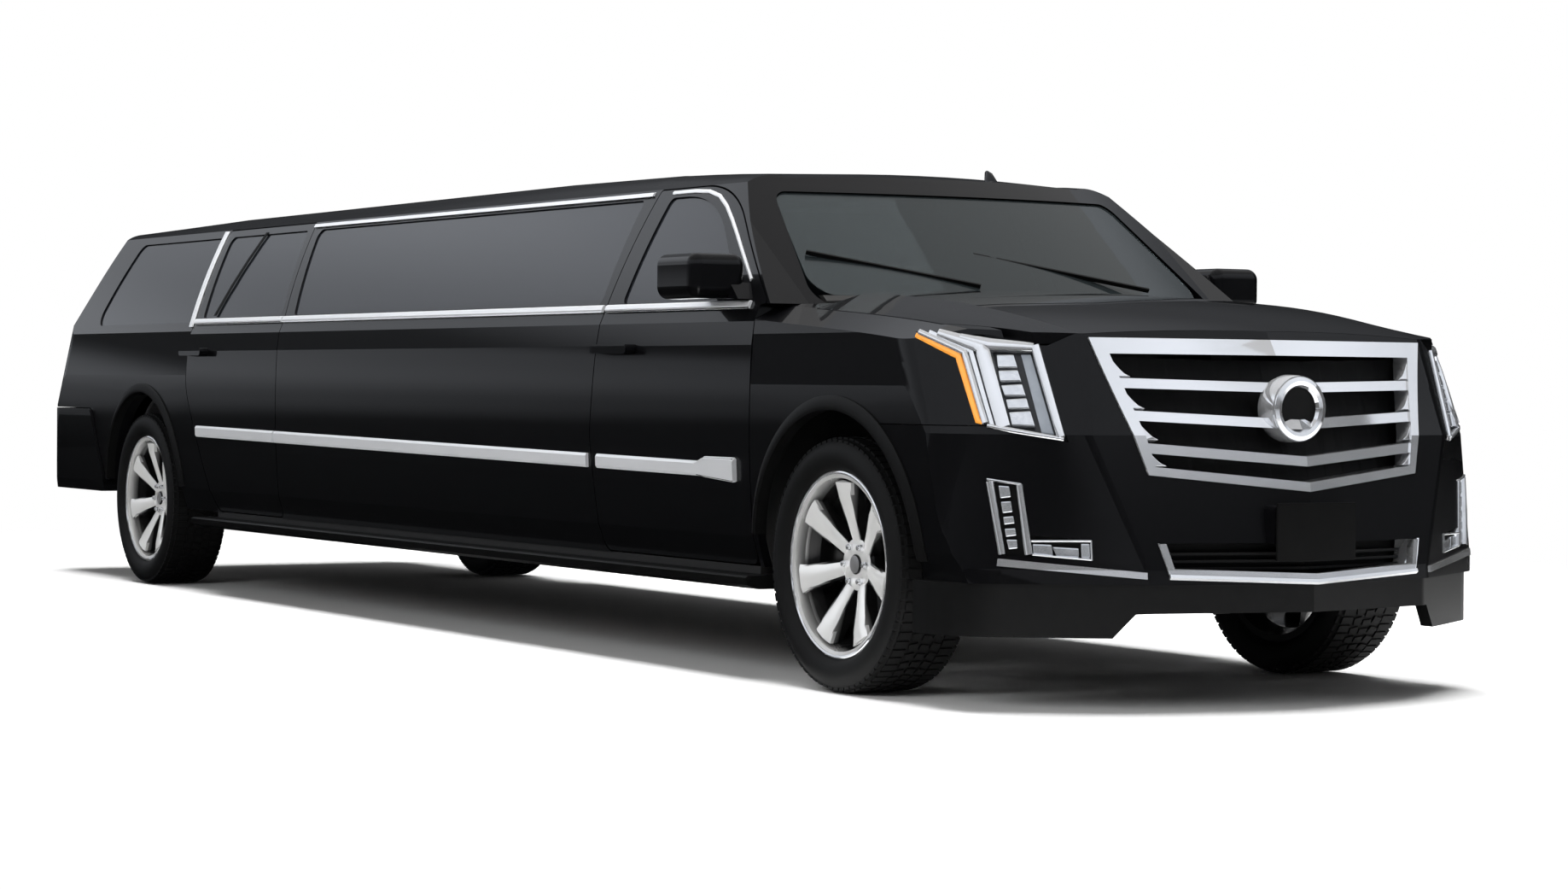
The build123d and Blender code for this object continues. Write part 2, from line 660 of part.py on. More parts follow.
# outlines in the corner plane: outward distance, height
head_lamp_outline = [(478, 1137), (335, 1058), (236, 851), (-10, 809), (112, 1100), (237, 1126)]
fog_lamp_outline = [(229, 697), (124, 681), (114, 531), (-82, 518), (-85, 459), (188, 472)]
fog_strip_outline = [(193, 462), (196, 440), (-248, 404), (-247, 424)]
# outlines seen from the front: half width, height
grille_outline = [(-640, 1122), (-514, 712), (0, 662), (514, 712), (640, 1122)]
grille_opening = [(-578, 1074), (-490, 736), (0, 690), (490, 736), (578, 1074)]
intake_outline = [(-502, 508), (-474, 414), (0, 396), (474, 414), (502, 508)]
intake_opening = [(-478, 508), (-458, 434), (0, 417), (458, 434), (478, 508)]
bumper_bottom_z = 386
fender_split_z = 853

# plan outline of the hood, ahead of the front axle and half width
hood_side_x = 455
hood_plan = [(hood_rear_x, -hood_edge_y), (front_axle_x + hood_side_x, -hood_edge_y),
             (front_axle_x + 760, -780), (front_axle_x + 838, -648), (front_axle_x + 884, 0),
             (front_axle_x + 838, 648), (front_axle_x + 760, 780),
             (front_axle_x + hood_side_x, hood_edge_y), (hood_rear_x, hood_edge_y)]


def hood_prism(grow):
    """Upright prism over the hood's plan."""
    with BuildPart() as prism:
        with BuildSketch(Plane.XY.offset(900)):
            with BuildLine():
                Polyline(*hood_plan, close=True)
            make_face()
            if grow:
                offset(amount=grow, kind=Kind.INTERSECTION)
        extrude(amount=600)
    return prism.part


with BuildPart() as hood:
    add(hood_space)
    add(hood_space_inner, mode=Mode.SUBTRACT)
    add(hood_prism(0), mode=Mode.INTERSECT)

with BuildPart() as hood_room:
    add(hood_prism(front_gap))
    add(under_hood_surface(hood_thickness + front_gap, below), mode=Mode.SUBTRACT)

with BuildPart() as front_shell:
    add(fender_block(0))
    add(fender_block(panel_thickness), mode=Mode.SUBTRACT)
    add(front_arch, mode=Mode.SUBTRACT)
    add(hood_room.part, mode=Mode.SUBTRACT)
    add(corner_prism(head_lamp_outline, seam), mode=Mode.SUBTRACT)

lamp_split_y = 745
nose_reach_x = front_axle_x + 1300        # clear ahead of the nose
with BuildPart() as fender:
    add(front_shell.part)
    add(common(front_shell.part, box(front_axle_x + 2, front_axle_x + front_overhang + 50, 0, wide, 0,
                                     fender_split_z + 3)), mode=Mode.SUBTRACT)
    add(box(front_axle_x + 729, front_axle_x + front_overhang + 50, 0, wide, 0, 1500),
        mode=Mode.SUBTRACT)
    add(box(door_front_x, front_axle_x + front_overhang + 50, 0, hood_edge_y - 60, 0, 1500),
        mode=Mode.SUBTRACT)
    add(box(door_front_x, pillar_foot_x + 20, 0, wide, belt_z - 10, 1500), mode=Mode.SUBTRACT)
    add(box(door_front_x, front_axle_x - 200, 0, wide, belt_z - seat_gap, 1500), mode=Mode.SUBTRACT)
parts["front_fender"] = fender.part

with BuildPart() as bumper_half:
    add(front_shell.part)
    add(box(front_axle_x + 2, nose_reach_x, 0, wide, bumper_bottom_z, 1500), mode=Mode.INTERSECT)
    add(box(door_front_x, front_axle_x + 730, lamp_split_y + 3, wide, fender_split_z, 1500),
        mode=Mode.SUBTRACT)
    add(corner_prism(fog_lamp_outline, seam), mode=Mode.SUBTRACT)
bumper_side = bumper_half.solids().sort_by(SortBy.VOLUME)[-1]
with BuildPart() as front_bumper:
    add(bumper_side)
    add(mirrored(bumper_side))
    add(front_view_prism(grille_outline, front_axle_x + 300, front_axle_x + 1300, seam),
        mode=Mode.SUBTRACT)
    add(front_view_prism(intake_outline, front_axle_x + 300, front_axle_x + 1300, seam),
        mode=Mode.SUBTRACT)



def nose_layer(outer, inner, x_back):
    """A layer that follows the front surface."""
    with BuildPart() as layer:
        add(nose_solid(outer, x_back))
        add(nose_solid(inner, x_back - 10), mode=Mode.SUBTRACT)
    return layer.part


lamp_depth = 120
with BuildPart() as head_lamp:
    add(nose_layer(4, lamp_depth, front_axle_x - 100))
    add(corner_prism(head_lamp_outline, 0, 1400), mode=Mode.INTERSECT)
    add(box(front_axle_x + 300, front_axle_x + 1300, hood_edge_y - 400, wide, 0, 1500),
        mode=Mode.INTERSECT)
    add(fender_block(4), mode=Mode.INTERSECT)
    add(hood_room.part, mode=Mode.SUBTRACT)
with BuildPart() as fog_lamp:
    add(nose_layer(4, 90, front_axle_x - 100))
    add(corner_prism(fog_lamp_outline, 0, 1400), mode=Mode.INTERSECT)
    add(box(front_axle_x + 300, front_axle_x + 1300, 300, wide, 0, 1500), mode=Mode.INTERSECT)
strip_stand = 8
with BuildPart() as fog_strip:
    add(nose_layer(-strip_stand, -seat_gap, front_axle_x - 100))
    add(corner_prism(fog_strip_outline, 0, 1400), mode=Mode.INTERSECT)
    add(box(front_axle_x + 300, front_axle_x + 1300, 300, wide, 0, 1500), mode=Mode.INTERSECT)

# grille: frame round the opening and swept bars; columns are bar height at the upright, drop at the
# middle and height of the bar
grille_bars = [(1002, 12, 30), (907, 28, 30), (814, 46, 30)]
bar_depth = 40
frame_depth = 60
with BuildPart() as grille_frame:
    add(nose_layer(-6, frame_depth, front_axle_x - 100))
    add(front_view_prism(grille_outline, front_axle_x + 300, front_axle_x + 1300), mode=Mode.INTERSECT)
    add(front_view_prism(grille_opening, front_axle_x + 290, front_axle_x + 1310), mode=Mode.SUBTRACT)
with BuildPart() as bar_tools:
    for bar_z, drop, height in grille_bars:
        with BuildSketch(Plane.YZ.offset(front_axle_x + 300)):
            with BuildLine():
                Polyline((-600, bar_z), (0, bar_z - drop), (600, bar_z), (600, bar_z - height),
                         (0, bar_z - drop - height), (-600, bar_z - height), close=True)
            make_face()
        extrude(amount=1000)
with BuildPart() as grille:
    add(nose_layer(-1, bar_depth, front_axle_x - 100))
    add(bar_tools.part, mode=Mode.INTERSECT)
    add(front_view_prism(grille_outline, front_axle_x + 300, front_axle_x + 1300, -20),
        mode=Mode.INTERSECT)
    add(grille_frame.part)

emblem_z = 912
emblem_radius = 98
nose_tip_at_emblem = front_axle_x + 1085 - (1085 - 905) * (emblem_z - 830) / (1125 - 830)
emblem_plane = Plane(origin=(nose_tip_at_emblem - 55, 0, emblem_z), x_dir=(0, 1, 0), z_dir=(1, 0, 0))
with BuildPart() as emblem:
    with BuildSketch(emblem_plane):
        Circle(emblem_radius)
        Circle(emblem_radius - 28, mode=Mode.SUBTRACT)
    extrude(amount=80)
    with BuildSketch(emblem_plane):
        Circle(emblem_radius - 27)
    extrude(amount=48)

with BuildPart() as intake_trim:
    add(nose_layer(-4, 40, front_axle_x - 100))
    add(front_view_prism(intake_outline, front_axle_x + 300, front_axle_x + 1300), mode=Mode.INTERSECT)
    add(front_view_prism(intake_opening, front_axle_x + 290, front_axle_x + 1310), mode=Mode.SUBTRACT)

air_dam_bottom_z = 300
flap_bottom_z = 226
flap_inner_y = 560
air_dam_inset = 14
air_dam_thickness = 40
# outline seen from the front: the band, which reaches lower outside the flap's slanted end
air_dam_outline = [(-10, bumper_bottom_z), (-10, air_dam_bottom_z), (flap_inner_y, air_dam_bottom_z),
                   (flap_inner_y + 60, flap_bottom_z), (wide, flap_bottom_z), (wide, bumper_bottom_z)]
with BuildPart() as air_dam_half:
    add(nose_solid(air_dam_inset, front_axle_x - 100))
    add(nose_solid(air_dam_inset + air_dam_thickness, front_axle_x - 110), mode=Mode.SUBTRACT)
    add(front_view_prism(air_dam_outline, front_axle_x + arch_radius_front, front_axle_x + 1300),
        mode=Mode.INTERSECT)
with BuildPart() as splash_shield_half:
    add(nose_solid(air_dam_inset + air_dam_thickness - 10, front_axle_x - 110))
    add(box(front_axle_x + 600, nose_reach_x, -10, wide, air_dam_bottom_z + 40, air_dam_bottom_z + 56),
        mode=Mode.INTERSECT)
with BuildPart() as air_dam:
    add(air_dam_half.part)
    add(mirrored(air_dam_half.part))
    for half in (splash_shield_half.part, mirrored(splash_shield_half.part)):
        add(half)

# number plate pads, each with two screw holes
plate_half_width, plate_height = 155, 160
plate_screw_spacing = 178
plate_screw_radius = 3.5
front_plate_x, front_plate_z = front_axle_x + 1140, 542
plate_pad_depth = 60


def plate_pad(face_x, middle_z, outward):
    """Flat pad across the car whose face stands at face_x; outward is +1 to the front, -1 to the rear."""
    with BuildPart() as pad:
        with BuildSketch(Plane.YZ.offset(face_x)):
            with Locations((0, middle_z)):
                RectangleRounded(2 * plate_half_width, plate_height, 12)
        extrude(amount=-outward * plate_pad_depth)
    return pad.part


def plate_screws(face_x, middle_z, outward):
    """The two screw holes of a pad, as tools."""
    with BuildPart() as holes:
        with BuildSketch(Plane.YZ.offset(face_x + outward)):
            with Locations((-plate_screw_spacing / 2, middle_z), (plate_screw_spacing / 2, middle_z)):
                Circle(plate_screw_radius)
        extrude(amount=-outward * 19)
    return holes.part


# ---------------------------------------------------------------- frame, floor and engine bay structure
rail_in = 390
rail_out = 470
rail_profile = [  # x, bottom z, top z
    (tail_x + 170, 520, 640), (rear_axle_x + 480, 520, 640), (rear_axle_x + 860, 330, 460),
    (front_axle_x - 700, 330, 460), (front_axle_x - 420, 400, 530), (front_axle_x + 850, 400, 530)]
mount_height = 20
mid_floor_z = 460 + mount_height
rear_floor_z = 640 + mount_height
floor_thickness = 25
cross_member_z = 345         # top of the cross members under the shaft
cross_member_height = 60
cross_member_x = [tail_x + 260, rear_axle_x - 620, rear_axle_x + 980, rear_axle_x + 2300, 0,
                  front_axle_x - 1900, front_axle_x - 1050]
with BuildPart() as frame_half:
    with BuildSketch(Plane.XZ.offset(-rail_out)):
        with BuildLine():
            Polyline(*[(x, low) for x, low, high in rail_profile],
                     *[(x, high) for x, low, high in reversed(rail_profile)], close=True)
        make_face()
    extrude(amount=rail_out - rail_in)
    for x in (rear_axle_x + 1000, -400, front_axle_x - 1700, front_axle_x - 900):
        with BuildSketch(Plane.XY.offset(mid_floor_z - mount_height)):
            with Locations((x, (rail_in + rail_out) / 2)):
                Circle(36)
        extrude(amount=mount_height)
    for x in (tail_x + 300, rear_axle_x - 500):
        with BuildSketch(Plane.XY.offset(rear_floor_z - mount_height)):
            with Locations((x, (rail_in + rail_out) / 2)):
                Circle(36)
        extrude(amount=mount_height)
    add(common(box(front_axle_x + 840, front_axle_x + 1300, 0, 620, 520, 640),
               nose_layer(panel_thickness + seat_gap, 110, front_axle_x - 100)))
    add(box(front_axle_x + 780, front_axle_x + 850, rail_in, rail_out, 400, 640))
with BuildPart() as bumper_arm:
    add(box(front_axle_x + 780, front_axle_x + 1000, rail_in, rail_out, 520, 640))
    add(nose_solid(panel_thickness + seat_gap, door_front_x), mode=Mode.INTERSECT)
with BuildPart() as rear_arm:
    add(box(tail_x + rear_wall + 0.4, tail_x + 200, rail_in - 20, rail_out + 20, 500, 632))
with BuildPart() as ladder_frame:
    for half in (frame_half.part, bumper_arm.part, rear_arm.part):
        add(half)
        add(mirrored(half))
with BuildPart() as cross_members:
    for x in cross_member_x:
        low = 530 if x < rear_axle_x + 480 else cross_member_z - cross_member_height
        add(box(x - 40, x + 40, -rail_in, rail_in, low, low + cross_member_height))

inner_y = body_half_width - wall_low
rocker_in = 780
firewall_x = front_axle_x - 500
toe_x = front_axle_x - 660
toe_join_x = toe_x - 8        # where the flat floor meets the bulkhead
firewall_top_z = 1225
floor_step_x = rear_axle_x + 880
wheelhouse_thickness = 20
wheelhouse_radius = arch_radius_rear
wheelhouse_y = 640
room_gap = 8                  # between the walls and what stands in the cabin
with BuildPart() as cabin_room:
    for side in (-1, 1):
        add(front_view_prism(
            [(0, sill_z), (side * (sill_y - wall_low - room_gap), sill_z),
             (side * (belt_y - wall_low - room_gap), crease_z),
             (side * (belt_y - wall_low - room_gap), belt_z - 30),
             (side * (belt_y - wall_high - room_gap), belt_z),
             (side * (drip_y - wall_high - room_gap), drip_z), (0, drip_z)], tail_x + 110, x_cabin_front))
with BuildPart() as front_bulkhead:
    with BuildSketch(Plane.XZ.offset(-(inner_y - 8))):
        with BuildLine():
            Polyline((toe_x, mid_floor_z), (firewall_x, mid_floor_z + 190),
                     (firewall_x, firewall_top_z), (firewall_x - floor_thickness, firewall_top_z),
                     (firewall_x - floor_thickness, mid_floor_z + 200),
                     (toe_join_x, mid_floor_z + floor_thickness), (toe_join_x, mid_floor_z), close=True)
        make_face()
    extrude(amount=2 * (inner_y - 8))
    add(cabin_room.part, mode=Mode.INTERSECT)
    for side in (-1, 1):
        low, high = sorted((side * (rocker_in + 9.6), side * wide))
        add(box(door_front_x - 6, front_axle_x - 300, low, high, 0, 1500), mode=Mode.SUBTRACT)
with BuildPart() as floor_pan:
    add(box(floor_step_x, toe_join_x, -rocker_in, rocker_in, mid_floor_z, mid_floor_z + floor_thickness))
with BuildPart() as rockers:
    for side in (-1, 1):
        low, high = sorted((side * rocker_in, side * (sill_y - wall_low - room_gap)))
        add(box(floor_step_x, toe_join_x, low, high, sill_z - 25, mid_floor_z + floor_thickness))
        add(box(toe_join_x, door_front_x - 6, low, high, sill_z - 25, mid_floor_z))
        low, high = sorted((side * rocker_in, side * (sill_y - 6)))
        add(box(floor_step_x, door_front_x - 6, low, high, sill_z - 25, sill_z))
with BuildPart() as rear_floor:
    add(box(floor_step_x - floor_thickness, floor_step_x, -inner_y + 8, inner_y - 8, mid_floor_z,
            rear_floor_z + floor_thickness))
    add(box(tail_x + 110, floor_step_x, -inner_y, inner_y, rear_floor_z, rear_floor_z + floor_thickness))
    for side in (-1, 1):
        for radius, y_from, y_to, mode in (
                (wheelhouse_radius, wheelhouse_y, inner_y, Mode.ADD),
                (wheelhouse_radius - wheelhouse_thickness, wheelhouse_y + wheelhouse_thickness, wide,
                 Mode.SUBTRACT)):
            with BuildSketch(Plane.XZ.offset(-side * (y_from + y_to) / 2)):
                with Locations((rear_axle_x, axle_z)):
                    Circle(radius)
                with Locations((rear_axle_x, axle_z + 110 - wheelhouse_radius)):
                    Rectangle(2 * wheelhouse_radius, 2 * wheelhouse_radius,
                              mode=Mode.SUBTRACT if mode == Mode.ADD else Mode.ADD)
            extrude(amount=(y_to - y_from) / 2, both=True, mode=mode)
    add(cabin_room.part, mode=Mode.INTERSECT)
cabin_floor_z = mid_floor_z + floor_thickness

pillar_x = (door_front_x + 8, front_axle_x - 485)
pillar_head_x = front_axle_x - 415
apron_z = (990, 1070)
apron_in = 740
with BuildPart() as engine_bay_half:
    add(box(pillar_x[0], pillar_x[1], rocker_in + 10, wide, sill_z - 25, 900))
    add(box(pillar_x[0], pillar_head_x, rocker_in + 10, wide, 880, belt_z - 10))
    add(box(pillar_foot_x + 4, pillar_head_x, rocker_in + 10, wide, 880, belt_z))
    add(box(firewall_x, pillar_x[1], rocker_in - 60, rocker_in + 20, mid_floor_z, 1180))
    add(box(firewall_x, front_axle_x + 729, apron_in, wide, *apron_z))
    for x in (hood_rear_x + 40, front_axle_x + 420):
        add(common(box(x, x + 36, apron_in + 10, apron_in + 46, apron_z[0], 1400),
                   under_hood_surface(hood_thickness + seat_gap, below)))
    add(fender_block(panel_thickness + seat_gap), mode=Mode.INTERSECT)
    add(box(front_axle_x + 600, front_axle_x + 660, 0, apron_in + 10, 1000, 1060))
    add(common(nose_layer(-60, lamp_depth + seat_gap, front_axle_x - 100),
               corner_prism(head_lamp_outline, 1, 1400)), mode=Mode.SUBTRACT)
    for z in hinge_z:
        add(box(door_front_x + seat_gap, pillar_x[0] + 20, *hinge_y, z - 30, z + 30))
    add(box(front_axle_x + 600, front_axle_x + 660, 580, 640, 530, 1060))
    add(box(front_axle_x + 600, front_axle_x + 660, rail_in, 640, 530, 570))
radiator_block = box(front_axle_x + 660, front_axle_x + 730, -560, 560, 540, 1060)
with BuildPart() as engine_bay_frame:
    add(engine_bay_half.part)
    add(mirrored(engine_bay_half.part))
    with BuildSketch(Plane.XY.offset(1180)):
        with Locations((firewall_x + 70, 0)):
            Rectangle(140, 1600)
    extrude(amount=32)

# cowl panel under the windscreen, with the upstand that the glass stands on
cowl_top_z = firewall_top_z + 24
with BuildPart() as cowl_upstand:
    add(behind_windscreen(glass_inset - 4, tail_x))
    add(behind_windscreen(glass_inset + glass_thickness + 6, tail_x + 50), mode=Mode.SUBTRACT)
    add(box(firewall_x, front_axle_x, -780, 780, cowl_top_z - 6, windscreen_low_z + pane_gap),
        mode=Mode.INTERSECT)
with BuildPart() as cowl:
    add(box(firewall_x - floor_thickness, front_axle_x - 300, -780, 780, firewall_top_z, cowl_top_z))
    add(cowl_upstand.part)
with BuildPart() as engine_bay:
    add(engine_bay_frame.part)
    add(radiator_block)
    add(cowl.part)

# ---------------------------------------------------------------- drive line and running gear
with BuildPart() as engine:
    add(box(front_axle_x - 330, front_axle_x + 420, -290, 290, 540, 1060))
    add(box(front_axle_x - 80, front_axle_x + 80, -rail_out, rail_out, 530, 580))
    add(box(front_axle_x - 330, front_axle_x - 100, -200, 200, cross_member_z, 540))
    add(box(front_axle_x - 1150, front_axle_x - 320, -110, 110, cross_member_z, 470))
    chamfer(engine.edges().filter_by(Axis.X).group_by(Axis.Z)[-1], 60)

shaft_z = 400
diff_front_x = rear_axle_x + 260
shaft_radius = 45
with BuildPart() as propeller_shaft:
    with BuildSketch(Plane.YZ.offset(diff_front_x)):
        with Locations((0, shaft_z)):
            Circle(shaft_radius)
    extrude(amount=front_axle_x - 1150 - diff_front_x)
    for x in (rear_axle_x + 980, 0, front_axle_x - 1900):
        add(box(x - 25, x + 25, -65, 65, cross_member_z, shaft_z + 55))

hub_face_y = half_track + 12
axle_tube_radius = 45
brake_y = half_track - 60
with BuildPart() as rear_axle_half:
    with BuildSketch(Plane.XZ):
        with Locations((rear_axle_x, axle_z)):
            Circle(axle_tube_radius)
    extrude(amount=-(brake_y - 16))
    with BuildSketch(Plane.XZ.offset(-(brake_y - 40))):
        with Locations((rear_axle_x, axle_z)):
            Circle(85)
    extrude(amount=-24)
    with BuildSketch(Plane.XZ):
        with Locations((rear_axle_x, axle_z)):
            Circle(150)
    extrude(amount=-110)
    with BuildSketch(Plane.YZ.offset(rear_axle_x)):
        with Locations((0, shaft_z)):
            Circle(80)
    extrude(amount=diff_front_x - rear_axle_x)
    with BuildSketch(Plane.XY.offset(axle_z)):
        with Locations((rear_axle_x, (rail_in + rail_out) / 2)):
            Circle(58)
    extrude(amount=520 - axle_z)
    with BuildSketch(Plane.XZ.offset(-(half_track + 3))):
        with Locations((rear_axle_x, axle_z)):
            Circle(34.9)
    extrude(amount=100)
    add(box(rear_axle_x + 60, rear_axle_x + 175, brake_y - 40, brake_y - 17, axle_z - 70, axle_z + 90))
with BuildPart() as rear_axle:
    add(rear_axle_half.part)
    add(mirrored(rear_axle_half.part))

king_pin_y = half_track - 102
with BuildPart() as knuckle:
    add(box(front_axle_x - 45, front_axle_x + 45, king_pin_y - 35, king_pin_y + 20, axle_z - 150, axle_z + 165))
    with BuildSketch(Plane.XZ.offset(-(king_pin_y - 20))):
        with Locations((front_axle_x, axle_z)):
            Circle(80)
    extrude(amount=-(brake_y - 16 - king_pin_y + 20))
    with BuildSketch(Plane.XZ.offset(-(half_track + 3))):
        with Locations((front_axle_x, axle_z)):
            Circle(34.9)
    extrude(amount=120)
    add(box(front_axle_x - 165, front_axle_x - 40, king_pin_y - 35, king_pin_y - 5, axle_z - 110, axle_z - 80))
    add(box(front_axle_x + 60, front_axle_x + 175, brake_y - 45, brake_y - 17, axle_z - 70, axle_z + 90))
    add(box(front_axle_x + 30, front_axle_x + 80, brake_y - 50, brake_y - 17, axle_z - 30, axle_z + 50))

arm_clear = 0.5
with BuildPart() as suspension_half:
    for z_low, z_high, frame_z in ((axle_z - 150 - arm_clear - 34, axle_z - 150 - arm_clear, 330),
                                   (axle_z + 165 + arm_clear, axle_z + 165 + arm_clear + 26, 560)):
        with BuildSketch(Plane.XY.offset(z_low)):
            with BuildLine():
                Polyline((front_axle_x - 24, king_pin_y + 4), (front_axle_x + 24, king_pin_y + 4),
                         (front_axle_x + 130, rail_out - 20), (front_axle_x + 90, rail_out - 20),
                         (front_axle_x, king_pin_y - 90), (front_axle_x - 90, rail_out - 20),
                         (front_axle_x - 130, rail_out - 20), close=True)
            make_face()
        extrude(amount=z_high - z_low)
    for side in (-1, 1):
        x = front_axle_x + side * 110
        add(box(x - 25, x + 25, rail_in + 10, rail_out - 10, axle_z - 184.5, 400))
        add(box(x - 25, x + 25, rail_in + 10, rail_out - 10, 530, axle_z + 165 + arm_clear + 26))
with BuildPart() as front_suspension:
    add(suspension_half.part)
    add(mirrored(suspension_half.part))
    add(box(front_axle_x - 160, front_axle_x + 60, -rail_in - 20, rail_in + 20, axle_z - 184.5, axle_z - 140))
    with BuildSketch(Plane.XZ.offset(-590)):
        with Locations((front_axle_x - 185, axle_z - 120)):
            Circle(26)
    extrude(amount=1180)
    add(box(front_axle_x - 220, front_axle_x - 140, -320, 320, axle_z - 150, axle_z - 90))

# ---------------------------------------------------------------- wheels
rim_width = 236
spoke_count = 7
cap_radius = 32
nut_count = 6
nut_circle = 62
nut_pocket_radius = 15
nut_pocket_depth = 34        # from the plane of the cap's face
rim_lip = rim_radius
tyre_bead = rim_radius - 14
disc_radius = 172


h = rim_width / 2
barrel = tyre_bead - 22
with BuildPart() as rim:
    with BuildSketch(Plane.YZ):
        with BuildLine():
            Polyline((h, rim_lip), (h - 9, rim_lip), (h - 12, tyre_bead), (h - 60, tyre_bead - 2),
                     (h - 80, barrel), (70 - h, barrel), (50 - h, tyre_bead - 2), (12 - h, tyre_bead),
                     (9 - h, rim_lip), (-h, rim_lip), (-h, tyre_bead - 10), (60 - h, barrel - 10),
                     (h - 84, barrel - 10), (h - 40, tyre_bead - 12), (h - 4, tyre_bead - 8),
                     (h, rim_lip - 6), close=True)
        make_face()
    revolve(axis=Axis.Y)
with BuildPart() as hub:
    with BuildSketch(Plane.YZ):
        with BuildLine():
            Polyline((-46, 35), (30, 35), (30, 0), (58, 0), (58, cap_radius - 4), (54, cap_radius),
                     (48, cap_radius), (48, 84), (40, 94), (6, 94), (6, 78),
                     (-46, 78), (-46, disc_radius), (-74, disc_radius), (-74, 60), (-46, 60), close=True)
        make_face()
    revolve(axis=Axis.Y)
with BuildPart() as spokes:
    with BuildSketch(Plane.XZ.offset(-h)):
        with PolarLocations(0, spoke_count, start_angle=90):
            Polygon((60, -28), (60, 28), (barrel, 41), (barrel + 6, 0), (barrel, -41), align=None)
    extrude(amount=rim_width)
    with BuildSketch(Plane.YZ):
        with BuildLine():
            Polyline((6, 40), (46, 40), (46, 74), (h - 22, barrel - 40), (h - 14, barrel + 8),
                     (h - 66, barrel + 8), (h - 70, barrel - 30), (12, 80), close=True)
        make_face()
    revolve(axis=Axis.Y, mode=Mode.INTERSECT)
with BuildPart() as wheel_left:
    add(rim.part)
    add(hub.part)
    add(spokes.part)
    with BuildSketch(Plane.XZ.offset(-60)):
        with PolarLocations(nut_circle, nut_count):
            Circle(nut_pocket_radius)
    extrude(amount=nut_pocket_depth, mode=Mode.SUBTRACT)

tread_shoulder = 118
side_bulge = tyre_width / 2
bead_gap = 0.3
with BuildPart() as tyre_left:
    with BuildSketch(Plane.YZ):
        with BuildLine():
            Polyline((12.6 - h, tyre_bead + bead_gap), (h - 12.6, tyre_bead + bead_gap),
                     (h - 9.5, rim_lip + bead_gap), (h + 3, rim_lip + 4))
            ThreePointArc((h + 3, rim_lip + 4), (side_bulge, rim_lip + 46), (tread_shoulder + 10, tyre_radius - 18))
            ThreePointArc((tread_shoulder + 10, tyre_radius - 18), (tread_shoulder, tyre_radius - 6),
                          (tread_shoulder - 14, tyre_radius))
            Line((tread_shoulder - 14, tyre_radius), (14 - tread_shoulder, tyre_radius))
            ThreePointArc((14 - tread_shoulder, tyre_radius), (-tread_shoulder, tyre_radius - 6),
                          (-tread_shoulder - 10, tyre_radius - 18))
            ThreePointArc((-tread_shoulder - 10, tyre_radius - 18), (-side_bulge, rim_lip + 46), (-h - 3, rim_lip + 4))
            Polyline((-h - 3, rim_lip + 4), (9.5 - h, rim_lip + bead_gap), (12.6 - h, tyre_bead + bead_gap))
        make_face()
    revolve(axis=Axis.Y)

# ---------------------------------------------------------------- bright trim, handles, mirrors, running boards
strip_fall = 52              # the strip drops this much from the rear door to its front end
strip_rear_x = rear_door_rear_x - 18
strip_front_x = door_front_x - 90


def strip_z(x):
    """Height of the side strip's lower edge."""
    return 716 - strip_fall * (x - strip_rear_x) / (strip_front_x - strip_rear_x)


def strip_prism(x_back, x_front, height):
    """Outline of the side strip between two stations."""
    return side_prism([(x_back, strip_z(x_back)), (x_front, strip_z(x_front)),
                       (x_front, strip_z(x_front) + height), (x_back, strip_z(x_back) + height)], 1)


strip_height = 44
block_length = 250
belt_strip = [(0, belt_z - 7), (1, belt_z + 10)]
trim_specs = {
    "front_door": (door_rear_x + 10, strip_front_x, door_front_x - 60),
    "rear_door": (rear_door_rear_x + 130, rear_door_front_x - 8, rear_door_front_x - 12)}
handle_length = 270
door_trims = {}
for door_name, handle_x, handle_z in (("front_door", door_rear_x + 145, 1092),
                                     ("rear_door", rear_door_rear_x + 110, 1098)):
    x_back, x_front, belt_front = trim_specs[door_name]
    belt_back = door_rear_x + 4 if door_name == "front_door" else rear_door_rear_x + 8
    with BuildPart() as door_trim:
        strip_end = x_front - block_length + 20 if door_name == "front_door" else x_front
        add(common(trim_layer, side_prism(
            [(x_back, strip_z(x_back)), (strip_end, strip_z(strip_end)),
             (strip_end, strip_z(strip_end) + strip_height), (x_back, strip_z(x_back) + strip_height)], 1)))
        add(common(trim_layer, side_prism([(belt_back, belt_z - 14), (belt_front, belt_z - 14),
                                           (belt_front, belt_z + 8), (belt_back, belt_z + 8)], 1)))
        if door_name == "front_door":
            add(common(skin_blank(-15, -seat_gap, x_all_back, front_axle_x + 100),
                       side_prism([(x_front - block_length, strip_z(x_front) + 2),
                                   (x_front, strip_z(x_front) - 14), (x_front, strip_z(x_front) + 62),
                                   (x_front - block_length + 50, strip_z(x_front) + 62)], 2)))
        add(common(skin_blank(-42, -seat_gap, x_all_back, front_axle_x + 100),
                   side_prism([(handle_x - handle_length / 2, handle_z - 17),
                               (handle_x + handle_length / 2, handle_z - 17),
                               (handle_x + handle_length / 2, handle_z + 17),
                               (handle_x - handle_length / 2, handle_z + 17)], 14)))
        add(common(skin_blank(-22, 2, x_all_back, front_axle_x + 100),
                   side_prism([(handle_x - handle_length / 2 + 45, handle_z - 30),
                               (handle_x + handle_length / 2 - 45, handle_z - 30),
                               (handle_x + handle_length / 2 - 45, handle_z + 30),
                               (handle_x - handle_length / 2 + 45, handle_z + 30)], 4)),
            mode=Mode.SUBTRACT)
    door_trims[door_name] = door_trim.part

